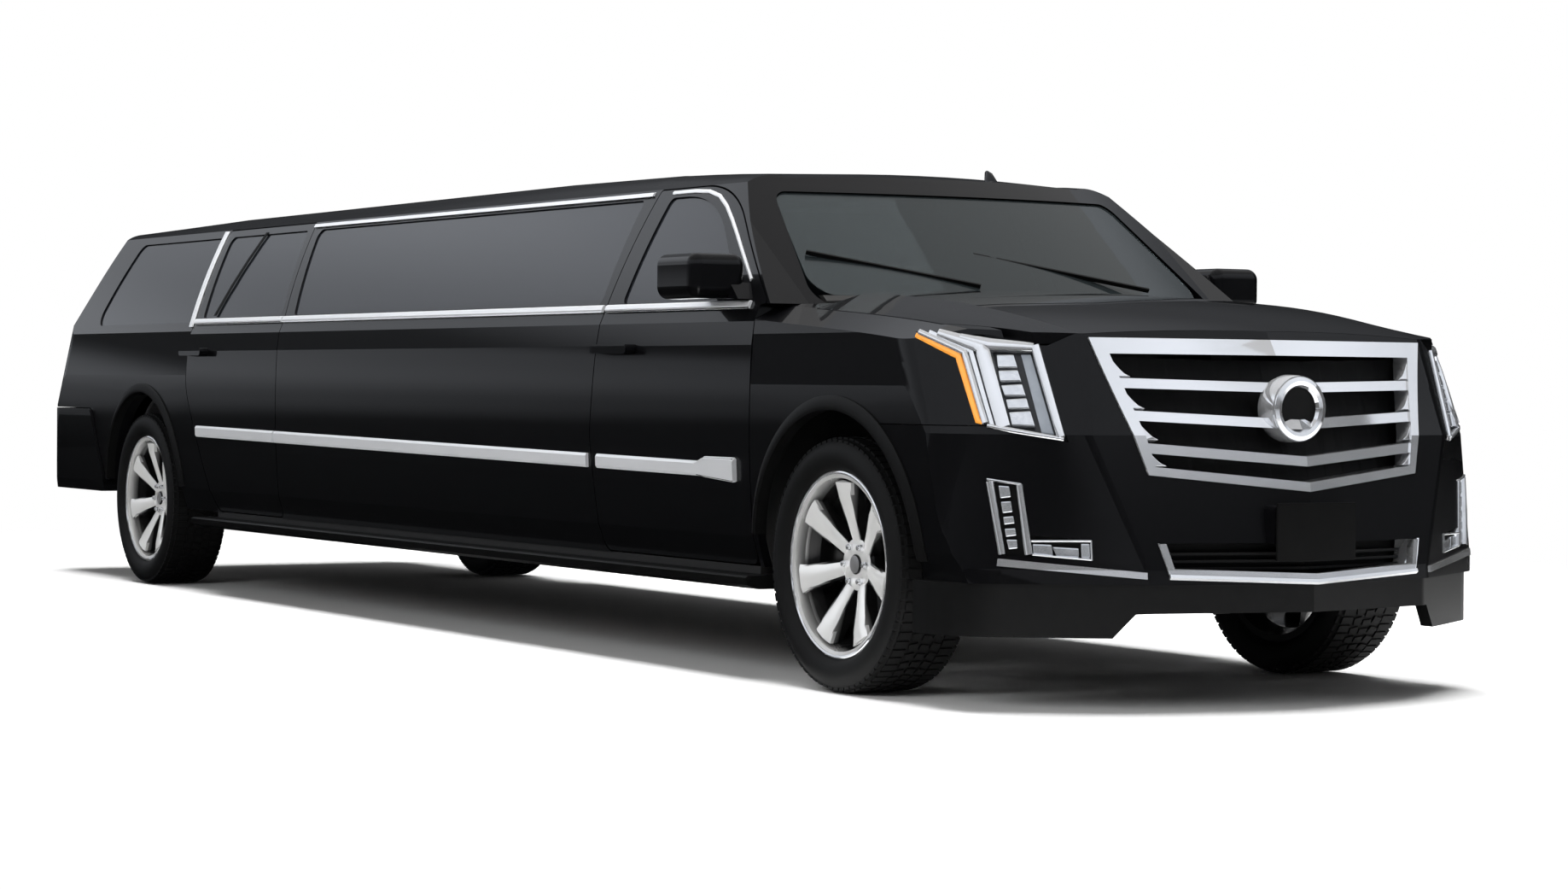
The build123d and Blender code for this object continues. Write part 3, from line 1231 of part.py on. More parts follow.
with BuildPart() as trim_half:
    add(common(trim_layer, strip_prism(rear_door_front_x + 8, door_rear_x - 72, strip_height)))
    add(common(trim_layer, side_prism([(rear_door_front_x + 8, belt_z - 14), (door_rear_x - 24, belt_z - 14),
                                       (door_rear_x - 24, belt_z + 8), (rear_door_front_x + 8, belt_z + 8)], 1)))
    add(common(trim_layer, side_prism([(rear_door_rear_x - 14, belt_z - 24), (rear_door_rear_x - 46, belt_z - 24),
                                       (rear_door_rear_x - 176, door_head_z), (rear_door_rear_x - 142, door_head_z)],
                                      1)))
    add(common(trim_layer, side_prism([(rear_door_front_x - rear_post_lean + 16, glass_high_z + 12),
                                       (door_rear_x - 40, glass_high_z + 12), (door_rear_x - 40, glass_high_z + 26),
                                       (rear_door_front_x - rear_post_lean + 16, glass_high_z + 26)], 1)))
with BuildPart() as bright_strips:
    add(trim_half.part)
    add(mirrored(trim_half.part))

mirror_z = 1330
with BuildPart() as mirror_left:
    with BuildSketch(Plane.YZ.offset(door_front_x - 350)):
        with Locations((1075, mirror_z)):
            RectangleRounded(210, 150, 40)
    extrude(amount=240)
    fillet(mirror_left.edges().group_by(Axis.X)[-1], 38)
    with BuildSketch(Plane.YZ.offset(door_front_x - 352)):
        with Locations((1080, mirror_z)):
            RectangleRounded(180, 124, 32)
    extrude(amount=18, mode=Mode.SUBTRACT)
    with BuildSketch(Plane.XZ.offset(-(belt_y - 40))):
        with BuildLine():
            Polyline((door_front_x - 150, belt_z + 20), (door_front_x - 62, belt_z + 16),
                     (door_front_x - 118, belt_z + 72), (door_front_x - 190, belt_z + 76), close=True)
        make_face()
    extrude(amount=-90)
    add(skin_blank(-seat_gap, 200, door_front_x - 400, door_front_x), mode=Mode.SUBTRACT)

for door_name, pieces in (("front_door", (door_trims["front_door"], mirror_left.part)),
                          ("rear_door", (door_trims["rear_door"],))):
    with BuildPart() as fitted_door:
        add(parts[door_name])
        for piece in pieces:
            add(piece)
    parts[door_name] = fitted_door.part

board_top_z = 345
board_front_gap = 485        # from the front axle; the turned tyre sweeps back to 473
with BuildPart() as board_left:
    with BuildSketch(Plane.YZ.offset(rear_door_rear_x + 130)):
        with BuildLine():
            Polyline((rocker_in + 20, board_top_z - 45), (1000, board_top_z - 45), (1045, board_top_z - 30),
                     (1050, board_top_z - 6), (1040, board_top_z), (sill_y - 4, board_top_z),
                     (sill_y - 4, sill_z - 25), (rocker_in + 20, sill_z - 25), close=True)
        make_face()
    extrude(amount=front_axle_x - board_front_gap - (rear_door_rear_x + 130))
with BuildPart() as running_boards:
    add(board_left.part)
    add(mirrored(board_left.part))

# ---------------------------------------------------------------- cabin
seat_x = front_axle_x - 1290
seat_y = 400
seat_base_z = 700
seat_cushion_top = 860
with BuildPart() as seat_left:
    with BuildSketch(Plane.XZ.offset(-(seat_y + 250))):
        with BuildLine():
            Polyline((seat_x - 240, seat_base_z), (seat_x + 290, seat_base_z), (seat_x + 300, 840),
                     (seat_x + 60, seat_cushion_top - 10), (seat_x - 190, seat_cushion_top - 20), (seat_x - 330, 1400),
                     (seat_x - 420, 1400), (seat_x - 330, 900), close=True)
        make_face()
    extrude(amount=500)
    fillet(seat_left.edges().filter_by(Axis.Y), 24)
    with BuildSketch(Plane.XZ.offset(-(seat_y + 140))):
        with BuildLine():
            Polyline((seat_x - 412, 1400), (seat_x - 338, 1400), (seat_x - 350, 1560), (seat_x - 420, 1560),
                     close=True)
        make_face()
    extrude(amount=280)
with BuildPart() as front_seats:
    add(seat_left.part)
    add(mirrored(seat_left.part))
with BuildPart() as seat_base_left:
    add(box(seat_x - 250, seat_x + 240, seat_y - 210, seat_y + 210, cabin_floor_z, seat_base_z))
with BuildPart() as seat_bases:
    add(seat_base_left.part)
    add(mirrored(seat_base_left.part))
    add(box(front_axle_x - 1700, front_axle_x - 800, -120, 120, cabin_floor_z, 900))

dash_rear_x = front_axle_x - 800
with BuildPart() as dashboard:
    with BuildSketch(Plane.XZ.offset(-770)):
        with BuildLine():
            Polyline((firewall_x - floor_thickness, 760), (dash_rear_x + 90, 760), (dash_rear_x, 900),
                     (dash_rear_x, 1080), (dash_rear_x + 60, 1130), (firewall_x - floor_thickness, 1160),
                     close=True)
        make_face()
    extrude(amount=1540)
    fillet(dashboard.edges().filter_by(Axis.Y).group_by(Axis.X)[0], 30)

wheel_tilt = 24
wheel_hub_x, wheel_hub_z = dash_rear_x - 130, 1045
column_plane = Plane(origin=(wheel_hub_x, seat_y, wheel_hub_z), x_dir=(0, 1, 0),
                     z_dir=(-cos(radians(wheel_tilt)), 0, sin(radians(wheel_tilt))))
with BuildPart() as steering_wheel:
    with Locations(column_plane.location):
        Torus(180, 16)
    with BuildSketch(column_plane.offset(-18)):
        Circle(62)
        Rectangle(360, 34)
        with Locations((0, -90)):
            Rectangle(40, 180)
    extrude(amount=22)
with BuildPart() as steering_column:
    with BuildSketch(column_plane.offset(-18.5)):
        Circle(40)
    extrude(amount=-170)
    add(dashboard.part, mode=Mode.SUBTRACT)

partition_x = door_rear_x - 260
partition_outline = [(-inner_y + 12, cabin_floor_z), (inner_y - 12, cabin_floor_z), (inner_y - 12, belt_z - 40),
                     (drip_y - 60, drip_z - 50), (-drip_y + 60, drip_z - 50), (-inner_y + 12, belt_z - 40)]
with BuildPart() as partition:
    add(front_view_prism(partition_outline, partition_x - 40, partition_x))
    add(front_view_prism([(-560, 1180), (560, 1180), (520, 1540), (-520, 1540)], partition_x - 60, partition_x + 20,
                         radius=40), mode=Mode.SUBTRACT)
    add(cabin_room.part, mode=Mode.INTERSECT)

bench_front_x = partition_x - 220
bench_rear_x = rear_door_front_x + 260
bench_depth = 560
rear_bench_x = floor_step_x - 620
with BuildPart() as lounge_base:
    add(box(bench_rear_x, bench_front_x, inner_y - bench_depth, inner_y - 12, cabin_floor_z, 760))
    add(box(rear_bench_x - 90, floor_step_x - 40, -610, 610, rear_floor_z + floor_thickness, 760))
    add(cabin_room.part, mode=Mode.INTERSECT)
with BuildPart() as lounge_seats:
    add(box(bench_rear_x, bench_front_x, inner_y - bench_depth - 20, inner_y - 130, 760, 900))
    add(box(bench_rear_x, bench_front_x, inner_y - 128, inner_y - 14, 760, 1190))
    add(box(rear_bench_x + 30, floor_step_x - 20, -620, 620, 760, 900))
    add(box(rear_bench_x - 120, rear_bench_x + 28, -620, 620, 760, 1330))
    fillet(lounge_seats.edges().group_by(Axis.Z)[-1], 30)
    add(cabin_room.part, mode=Mode.INTERSECT)
with BuildPart() as bar_console:
    add(box(bench_rear_x + 200, bench_front_x - 200, 12 - inner_y, 380 - inner_y, cabin_floor_z, 1130))
    add(box(bench_rear_x + 260, bench_front_x - 260, 60 - inner_y, 330 - inner_y, 1010, 1131), mode=Mode.SUBTRACT)
    add(cabin_room.part, mode=Mode.INTERSECT)
with BuildPart() as lounge_furniture:
    for piece in (partition, lounge_base, bar_console):
        add(piece.part)

pipe_radius = 32
pipe_z = cross_member_z + pipe_radius + seat_gap
muffler_x = (rear_axle_x + 1500, rear_axle_x + 2250)
tail_pipe_z = 380
exhaust_routes = [
    ([(front_axle_x - 1000, -150, pipe_z), (front_axle_x - 1300, -240, pipe_z),
      (muffler_x[1] - 20, -240, pipe_z)], 200),
    ([(muffler_x[0] + 20, -240, pipe_z), (rear_axle_x + 800, -240, pipe_z), (rear_axle_x + 380, -240, 560),
      (rear_axle_x - 250, -240, 560), (rear_axle_x - 500, -240, 470), (tail_x + 500, -600, 470),
      (tail_x + 250, -600, tail_pipe_z), (tail_x + 50, -600, tail_pipe_z)], 70)]
with BuildPart() as exhaust:
    add(box(*muffler_x, -350, -140, cross_member_z + seat_gap, 465))
    fillet(exhaust.edges().filter_by(Axis.X), 40)
    for points, bend in exhaust_routes:
        with BuildLine() as pipe_path:
            FilletPolyline(*points, radius=bend)
        with BuildSketch(Plane(origin=pipe_path.line @ 0, z_dir=pipe_path.line % 0)):
            Circle(pipe_radius)
        sweep(path=pipe_path.line)
with BuildPart() as fuel_tank:
    add(box(rear_axle_x + 1250, rear_axle_x + 2550, 120, rail_in - 5, cross_member_z, 455))
    fillet(fuel_tank.edges().filter_by(Axis.X), 25)

# ---------------------------------------------------------------- both sides, then write every piece
side_pieces = ("front_door", "front_door_glass", "rear_door", "rear_door_glass", "stretch_panel",
               "quarter_panel", "front_fender")
for name in side_pieces:
    save(parts[name], name + "_left")
    save(mirrored(parts[name]), name + "_right")
save(knuckle.part, "front_knuckle_left")
save(mirrored(knuckle.part), "front_knuckle_right")

for name, x in (("front", front_axle_x), ("rear", rear_axle_x)):
    for piece, kind in ((wheel_left.part, "wheel"), (tyre_left.part, "tyre")):
        placed = piece.moved(Location((x, half_track, axle_z)))
        save(placed, f"{name}_{kind}_left")
        save(mirrored(placed), f"{name}_{kind}_right")

with BuildPart() as front_lamps:
    for lamp in (head_lamp.part, fog_lamp.part):
        add(lamp)
        add(mirrored(lamp))
with BuildPart() as tail_lamps:
    add(parts["tail_lamp"])
    add(mirrored(parts["tail_lamp"]))
with BuildPart() as bright_front:
    add(grille.part)
    add(emblem.part)
    add(hood_room.part, mode=Mode.SUBTRACT)
    add(fog_strip.part)
    add(mirrored(fog_strip.part))
    add(intake_trim.part)
with BuildPart() as front_plate_pad:
    add(plate_pad(front_plate_x, front_plate_z, 1))
    add(plate_screws(front_plate_x, front_plate_z, 1), mode=Mode.SUBTRACT)
    add(nose_solid(panel_thickness - 4, door_front_x - 100), mode=Mode.SUBTRACT)
    add(front_view_prism(intake_outline, front_axle_x + 300, front_axle_x + 1300, seam), mode=Mode.SUBTRACT)
with BuildPart() as bumper_whole:
    add(front_bumper.part)
    add(front_plate_pad.part)
rear_plate_x, rear_plate_z = tail_x - 6, 930
with BuildPart() as tailgate_whole:
    add(tailgate_panel.part)
    add(plate_pad(rear_plate_x, rear_plate_z, -1))
    add(plate_screws(rear_plate_x, rear_plate_z, -1), mode=Mode.SUBTRACT)
with BuildPart() as chassis:
    add(ladder_frame.part)
    add(fuel_tank.part)
with BuildPart() as dashboard_whole:
    add(dashboard.part)
    add(steering_column.part)
    add(steering_wheel.part)

for name, piece in (
        ("roof", roof), ("windscreen", windscreen), ("fixed_side_glass", fixed_side_glass),
        ("hood", hood), ("front_bumper", bumper_whole), ("air_dam", air_dam), ("grille", bright_front),
        ("front_lamps", front_lamps), ("tail_lamps", tail_lamps), ("rear_bumper", rear_bumper),
        ("tailgate", tailgate_whole), ("tailgate_glass", tailgate_glass),
        ("side_bright_trim", bright_strips), ("running_boards", running_boards),
        ("ladder_frame", chassis), ("cross_members", cross_members), ("floor_pan", floor_pan),
        ("rocker_sills", rockers), ("rear_floor", rear_floor), ("front_bulkhead", front_bulkhead), ("engine_bay", engine_bay),
        ("engine", engine), ("propeller_shaft", propeller_shaft), ("rear_axle", rear_axle),
        ("front_suspension", front_suspension), ("exhaust", exhaust),
        ("dashboard", dashboard_whole), ("front_seats", front_seats), ("seat_bases", seat_bases),
        ("lounge_furniture", lounge_furniture), ("lounge_seats", lounge_seats)):
    save(piece.part, name)
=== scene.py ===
# %% [markdown]
# # Dressing a stretch limousine
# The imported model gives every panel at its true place. This file gives those panels their
# finishes, adds the small pieces that only show close by, and lights the car in a pale studio.

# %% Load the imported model
import math
import bmesh
import bpy
from mathutils import Matrix, Vector


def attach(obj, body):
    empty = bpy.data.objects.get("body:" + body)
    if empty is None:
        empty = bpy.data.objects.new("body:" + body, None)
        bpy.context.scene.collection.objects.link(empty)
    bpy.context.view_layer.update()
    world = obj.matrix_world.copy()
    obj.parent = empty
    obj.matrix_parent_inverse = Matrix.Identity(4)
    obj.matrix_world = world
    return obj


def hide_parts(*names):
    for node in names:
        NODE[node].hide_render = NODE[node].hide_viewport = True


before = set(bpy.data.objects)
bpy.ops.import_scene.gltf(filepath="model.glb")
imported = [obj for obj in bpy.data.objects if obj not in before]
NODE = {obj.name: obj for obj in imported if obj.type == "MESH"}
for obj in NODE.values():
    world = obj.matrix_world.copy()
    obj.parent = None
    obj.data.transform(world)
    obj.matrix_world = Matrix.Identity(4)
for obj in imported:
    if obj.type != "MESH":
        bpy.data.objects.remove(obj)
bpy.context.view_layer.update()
FRONT_AXLE, REAR_AXLE, AXLE_Z = 3.305, -3.045, 0.405
TAIL, HALF_TRACK = -4.435, 0.8725

# %% [markdown]
# ## Camera
# A long lens stands low beside the front corner, so the nose is large and the cabin runs away
# from the viewer. The aim is given as a heading, a pitch and a very small roll.

# %% Camera
def linked(name, data):
    """A new object for some data, linked to the scene."""
    o = bpy.data.objects.new(name, data)
    bpy.context.scene.collection.objects.link(o)
    return o


HEADING, PITCH, ROLL = math.radians(149.677), math.radians(-1.0188), 0.0084
EYE = (12.520, -6.582, 0.975)
ahead = Vector((math.cos(PITCH) * math.cos(HEADING), math.cos(PITCH) * math.sin(HEADING), math.sin(PITCH)))
level = ahead.cross(Vector((0, 0, 1))).normalized()
upward = level.cross(ahead)
side_axis = level * math.cos(ROLL) + upward * math.sin(ROLL)
up_axis = -level * math.sin(ROLL) + upward * math.cos(ROLL)
eye = linked("camera", bpy.data.cameras.new("camera"))
eye.data.lens, eye.data.sensor_width = 78.39, 36.0
eye.data.clip_end = 200
eye.matrix_world = Matrix.Translation(EYE) @ Matrix((side_axis, up_axis, -ahead)).transposed().to_4x4()
bpy.context.scene.camera = eye
print("camera aims", [round(v, 3) for v in ahead])

# %% [markdown]
# ## Material helpers
# Each finish is one Principled shader. The small effects that several finishes share, a fine grain
# and a mottled colour, are node groups with named inputs.


# %% Node helpers
def feed(tree, n, inputs):
    """Join each named input of a node to the output given for it, or set its value."""
    for label, value in inputs.items():
        if isinstance(value, bpy.types.NodeSocket):
            tree.links.new(value, n.inputs[label])
        else:
            n.inputs[label].default_value = value


def node(tree, kind, inputs=None, **settings):
    """A new node with its settings made and its inputs fed."""
    n = tree.nodes.new(kind)
    for label, value in settings.items():
        setattr(n, label, value)
    feed(tree, n, inputs or {})
    return n


def new_material(name):
    """A material with an empty Principled shader; returns the material, its tree and the shader."""
    m = bpy.data.materials.new(name)
    m.use_nodes = True
    return m, m.node_tree, m.node_tree.nodes["Principled BSDF"]


def make_group(name, inputs, outputs):
    """An empty shader node group with float or colour sockets."""
    g = bpy.data.node_groups.new(name, "ShaderNodeTree")
    for label, value in inputs.items():
        kind = "NodeSocketColor" if isinstance(value, tuple) else "NodeSocketFloat"
        g.interface.new_socket(label, in_out="INPUT", socket_type=kind).default_value = value
    for label in outputs:
        kind = "NodeSocketColor" if label == "Color" else "NodeSocketFloat"
        g.interface.new_socket(label, in_out="OUTPUT", socket_type=kind)
    return g, node(g, "NodeGroupInput").outputs, node(g, "NodeGroupOutput")


def place_group(tree, group, **values):
    """Put a group in a material and set its inputs by name."""
    return node(tree, "ShaderNodeGroup", values, node_tree=group)


def object_noise(group, given, detail):
    """A noise texture on Object coordinates, scaled by the group's Scale input."""
    where = node(group, "ShaderNodeTexCoord").outputs["Object"]
    return node(group, "ShaderNodeTexNoise", {"Vector": where, "Scale": given["Scale"], "Detail": detail})


# %% Shared effects
grain, given, taken = make_group("fine grain", {"Scale": 400.0, "Detail": 3.0}, ["Height"])
feed(grain, taken, {"Height": object_noise(grain, given, given["Detail"]).outputs["Fac"]})

mottle, given, taken = make_group(
    "mottled colour", {"Base": (0.5, 0.5, 0.5, 1.0), "Other": (0.6, 0.6, 0.6, 1.0), "Scale": 3.0}, ["Color"])
noise = object_noise(mottle, given, 6)
mix = node(mottle, "ShaderNodeMix", {0: noise.outputs["Fac"], 6: given["Base"], 7: given["Other"]}, data_type="RGBA")
feed(mottle, taken, {"Color": mix.outputs[2]})
print("groups", [g.name for g in bpy.data.node_groups])


def finish(name, colour, other=None, mottle_scale=3.0, rough=0.5, metal=0.0, bump=0.0, grain_scale=400.0, **sockets):
    """One Principled finish with a mottled colour and a fine grain."""
    m, t, p = new_material(name)
    other = other or tuple(min(1.0, c * 1.25 + 0.002) for c in colour)
    colours = place_group(t, mottle, Base=(*colour, 1.0), Other=(*other, 1.0), Scale=mottle_scale)
    feed(t, p, {"Base Color": colours.outputs["Color"], "Roughness": rough, "Metallic": metal})
    if bump:
        height = place_group(t, grain, Scale=grain_scale)
        b = node(t, "ShaderNodeBump", {"Strength": bump, "Distance": 0.001, "Height": height.outputs["Height"]})
        feed(t, p, {"Normal": b.outputs["Normal"]})
    feed(t, p, {label.replace("_", " "): value for label, value in sockets.items()})
    return m


# %% [markdown]
# ## Finishes
# The car is deep gloss black with bright trim. A black coat shows only what it reflects, so its
# clear coat is smooth and its own colour is nearly nothing.

# %% Finishes
paint = finish("gloss black paint", (0.0015, 0.0015, 0.0018), (0.0025, 0.0025, 0.003), 60, rough=0.35,
               Specular_IOR_Level=0.06, Coat_Weight=1.0, Coat_Roughness=0.015, Coat_IOR=1.27)
bright = finish("bright trim", (0.80, 0.81, 0.83), (0.86, 0.87, 0.89), 5, rough=0.06, metal=0.82)
strip_bright = finish("brushed bright strip", (0.72, 0.73, 0.75), (0.78, 0.79, 0.81), 3, rough=0.32, metal=0.55)
alloy = finish("polished alloy", (0.84, 0.84, 0.83), (0.90, 0.90, 0.89), 8, rough=0.22, metal=0.5, bump=0.02,
               grain_scale=900)
satin = finish("satin black plastic", (0.002, 0.002, 0.002), None, 30, rough=0.42, bump=0.10, grain_scale=1500,
               Specular_IOR_Level=0.16)
deep_black = finish("deep black backing", (0.002, 0.002, 0.002), None, 20, rough=0.6, Specular_IOR_Level=0.15)
wheel_alloy = finish("wheel alloy", (0.74, 0.74, 0.73), (0.80, 0.80, 0.79), 8, rough=0.20, metal=0.62)
rubber = finish("tyre rubber", (0.0025, 0.0025, 0.0025), (0.0045, 0.0045, 0.0045), 14, rough=0.62, bump=0.12,
                grain_scale=700, Specular_IOR_Level=0.25)
frame_black = finish("chassis black", (0.012, 0.012, 0.012), (0.02, 0.019, 0.018), 9, rough=0.55, bump=0.1,
                     grain_scale=250)
cast = finish("cast iron", (0.05, 0.048, 0.045), (0.09, 0.075, 0.06), 20, rough=0.7, metal=0.6, bump=0.3,
              grain_scale=300)
block_alloy = finish("engine alloy", (0.25, 0.25, 0.25), (0.32, 0.31, 0.3), 15, rough=0.5, metal=0.9, bump=0.2)
pipe_steel = finish("pipe steel", (0.30, 0.28, 0.25), (0.40, 0.36, 0.32), 12, rough=0.38, metal=1.0, bump=0.1)
leather = finish("black leather", (0.018, 0.017, 0.016), (0.026, 0.024, 0.022), 12, rough=0.48, bump=0.35,
                 grain_scale=520)
carpet = finish("carpet", (0.012, 0.012, 0.013), (0.03, 0.03, 0.032), 140, rough=0.95, bump=0.8, grain_scale=900)
lacquer = finish("lacquered furniture", (0.020, 0.011, 0.006), (0.05, 0.026, 0.012), 5, rough=0.25,
                 Coat_Weight=1.0, Coat_Roughness=0.05)
amber = finish("amber lens", (0.85, 0.30, 0.03), (0.95, 0.38, 0.05), 30, rough=0.2, Coat_Weight=1.0)
red_lens = finish("red lens", (0.22, 0.004, 0.004), (0.30, 0.006, 0.006), 20, rough=0.15, Coat_Weight=1.0)


def darken_inward(m, deep, face, dark):
    """The barrel of a wheel is in shade: base colour falls to a dark grey from the face inward."""
    t = m.node_tree
    colour = t.nodes["Principled BSDF"].inputs["Base Color"]
    split = node(t, "ShaderNodeSeparateXYZ", {0: node(t, "ShaderNodeTexCoord").outputs["Object"]})
    size = node(t, "ShaderNodeMath", {0: split.outputs["Y"]}, operation="ABSOLUTE")
    span = node(t, "ShaderNodeMapRange", {"Value": size.outputs[0], "From Min": deep, "From Max": face})
    shaded = node(t, "ShaderNodeMix", {0: span.outputs[0], 6: (dark, dark, dark, 1), 7: colour.links[0].from_socket},
                  data_type="RGBA")
    t.links.new(shaded.outputs[2], colour)


darken_inward(wheel_alloy, deep=0.940, face=0.985, dark=0.015)


def glass_finish(name, colour, transmission, ior=1.45):
    m, t, p = new_material(name)
    feed(t, p, {"Base Color": (*colour, 1), "Roughness": 0.0, "Transmission Weight": transmission, "IOR": ior})
    return m


tint = glass_finish("tinted glass", (0.016, 0.018, 0.022), 0.30)
screen_glass = glass_finish("windscreen glass", (0.05, 0.062, 0.066), 0.80)
clear_lens = glass_finish("clear lens", (0.97, 0.98, 1.0), 1.0, ior=1.2)
print("materials", len(bpy.data.materials))

# %% [markdown]
# ## Finishes on the panels
# Every packed panel keeps its shape and only gets its finish.

# %% Panels
for words, material in (
        (("roof", "hood", "bumper", "tailgate", "panel", "fender", "door"), paint),
        (("glass",), tint), (("windscreen",), screen_glass), (("grille",), bright), (("bright_trim",), strip_bright),
        (("wheel",), wheel_alloy), (("tyre",), rubber), (("running", "dashboard", "air_dam"), satin),
        (("ladder", "cross", "rocker", "bulkhead", "engine_bay", "suspension", "seat_bases"), frame_black),
        (("rear_axle", "knuckle"), cast), (("exhaust", "shaft"), pipe_steel),
        (("lounge_seats", "front_seats"), leather), (("floor",), carpet), (("furniture",), lacquer),
        (("front_lamps",), clear_lens), (("tail_lamps",), red_lens)):
    for name, o in NODE.items():
        if any(w in name for w in words) and not (material is paint and "glass" in name):
            for s in o.material_slots:
                s.material = material
for s in NODE["engine"].material_slots:
    s.material = block_alloy
print("finishes set on", len(NODE), "panels")

# %% [markdown]
# ## Studio
# The floor is a pale disc that fades into the white surround. One wide lamp above the car gives the
# dark patch under it, and a smaller one stands off its front corner. Walls far around the car are
# seen only in reflections, as cards are set beside black cars in a studio: a graded one that the
# near side mirrors, a dark one beyond the far side and a bright one ahead of the nose.


# %% World
world = bpy.data.worlds.new("studio")
bpy.context.scene.world = world
world.use_nodes = True
t = world.node_tree
WHITE, PLAIN_LEVEL, GLOSSY_EXTRA = (1, 1, 1, 1), 0.16, 0.31
rays = node(t, "ShaderNodeLightPath").outputs
seen = node(t, "ShaderNodeMath", {0: rays["Is Camera Ray"], 1: rays["Is Transmission Ray"]}, operation="MAXIMUM")
strength = node(t, "ShaderNodeMath", {0: rays["Is Glossy Ray"], 1: GLOSSY_EXTRA, 2: PLAIN_LEVEL},
                operation="MULTIPLY_ADD")
lit = t.nodes["Background"]
feed(t, lit, {"Color": WHITE, "Strength": strength.outputs[0]})
shown = node(t, "ShaderNodeBackground", {"Color": WHITE})
choose = node(t, "ShaderNodeMixShader", {"Fac": seen.outputs[0], 1: lit.outputs[0], 2: shown.outputs[0]})
feed(t, t.nodes["World Output"], {"Surface": choose.outputs[0]})
bpy.context.scene.view_settings.view_transform = "Standard"


def area_lamp(name, place, aim, size, watts):
    data = bpy.data.lights.new(name, "AREA")
    data.shape, data.size, data.size_y, data.energy = "RECTANGLE", *size, watts
    o = linked(name, data)
    o.location = place
    o.rotation_euler = (Vector(aim) - Vector(place)).to_track_quat("-Z", "Y").to_euler()
    o.visible_glossy = False


area_lamp("top_lamp", (0, 0, 7.5), (0, 0, 0), (13, 6), 2250)
area_lamp("side_lamp", (7, -9, 5), (1, 0, 0.6), (6, 4), 420)


# %% Floor and cards
def stage_mesh(name, points, faces, material):
    mesh = bpy.data.meshes.new(name)
    mesh.from_pydata(points, [], faces)
    mesh.materials.append(material)
    o = linked(name, mesh)
    return o


def bare_material(name):
    """A material whose surface is still to be made; returns it and its tree."""
    m, t, p = new_material(name)
    t.nodes.remove(p)
    return m, t


def fading(name, colour, axis_scale, start, end):
    """Diffuse cover that grows transparent with distance, measured on scaled Object coordinates."""
    m, t = bare_material(name)
    where = node(t, "ShaderNodeTexCoord").outputs["Object"]
    scaled = node(t, "ShaderNodeVectorMath", {0: where, 1: axis_scale}, operation="MULTIPLY")
    length = node(t, "ShaderNodeVectorMath", {0: scaled.outputs[0]}, operation="LENGTH")
    fade = node(t, "ShaderNodeMapRange", {"Value": length.outputs["Value"], "From Min": start, "From Max": end},
                interpolation_type="SMOOTHSTEP")
    clear, solid = node(t, "ShaderNodeBsdfTransparent"), node(t, "ShaderNodeBsdfDiffuse", {"Color": (*colour, 1)})
    mixer = node(t, "ShaderNodeMixShader", {"Fac": fade.outputs[0], 1: solid.outputs[0], 2: clear.outputs[0]})
    feed(t, t.nodes["Material Output"], {"Surface": mixer.outputs[0]})
    return m


RING, LONG, WIDE = 48, 16, 13  # corners of the disc and its half axes
angles = [2 * math.pi * i / RING for i in range(RING)]
stage_mesh("floor", [(math.cos(a) * LONG, math.sin(a) * WIDE, -0.002) for a in angles], [tuple(range(RING))],
           fading("studio floor", (0.96, 0.96, 0.96), (1 / LONG, 1 / WIDE, 0), 0.34, 0.56))


def card_material(name, steps, low, high, strength=1.0):
    """Emission that runs through grey steps (place, level) between two heights."""
    m, t = bare_material(name)
    split = node(t, "ShaderNodeSeparateXYZ", {0: node(t, "ShaderNodeTexCoord").outputs["Object"]})
    span = node(t, "ShaderNodeMapRange", {"Value": split.outputs["Z"], "From Min": low, "From Max": high})
    grey = node(t, "ShaderNodeValToRGB", {"Fac": span.outputs[0]})
    ramp = grey.color_ramp
    ramp.interpolation = "EASE"
    while len(ramp.elements) < len(steps):
        ramp.elements.new(0.5)
    for element, (place, level) in zip(ramp.elements, steps):
        element.position, element.color = (place - low) / (high - low), (level * 0.89, level * 0.93, level, 1)
    glow = node(t, "ShaderNodeEmission", {"Color": grey.outputs["Color"], "Strength": strength})
    feed(t, t.nodes["Material Output"], {"Surface": glow.outputs[0]})
    return m


def ring_card(name, first, last, radii, heights, material, steps=36):
    """Part of a ring wall or floor, seen only in reflections."""
    arc = [math.radians(first + (last - first) * i / steps) for i in range(steps + 1)]
    points = [(math.cos(a) * r, math.sin(a) * r, z) for r, z in zip(radii, heights) for a in arc]
    faces = [(i, i + 1, steps + 2 + i, steps + 1 + i) for i in range(steps)]
    o = stage_mesh(name, points, faces, material)
    for ray in ("camera", "diffuse", "transmission", "volume_scatter", "shadow"):
        setattr(o, "visible_" + ray, False)


REACH, LOW, HIGH = 15, -2.0, 14.0  # how far off the walls stand, their foot and their top
for name, first, last, count, strength, levels in (
        ("side", 184, 262, 36, 1.7, [(LOW, 0.0), (0.5, 0.0), (0.9, 0.13), (1.4, 0.30), (1.75, 0.26), (2.0, 0.0),
                                     (2.85, 0.0), (3.6, 0.50), (5.2, 0.36), (8.5, 0.58), (HIGH, 0.40)]),
        ("far", 58, 184, 36, 1.0, [(LOW, 0.0), (1.2, 0.004), (3.0, 0.03), (6.5, 0.06), (10.5, 0.2), (HIGH, 0.6)]),
        ("near", -98, 58, 50, 1.0, [(LOW, 0.70), (0.1, 0.45), (1.0, 0.05), (3.0, 0.15), (5.0, 0.8), (10.5, 1.0),
                                    (HIGH, 0.8)])):
    ring_card(name + "_wall", first, last, (REACH, REACH), (LOW, HIGH),
              card_material(name + " card", levels, LOW, HIGH, strength), count)
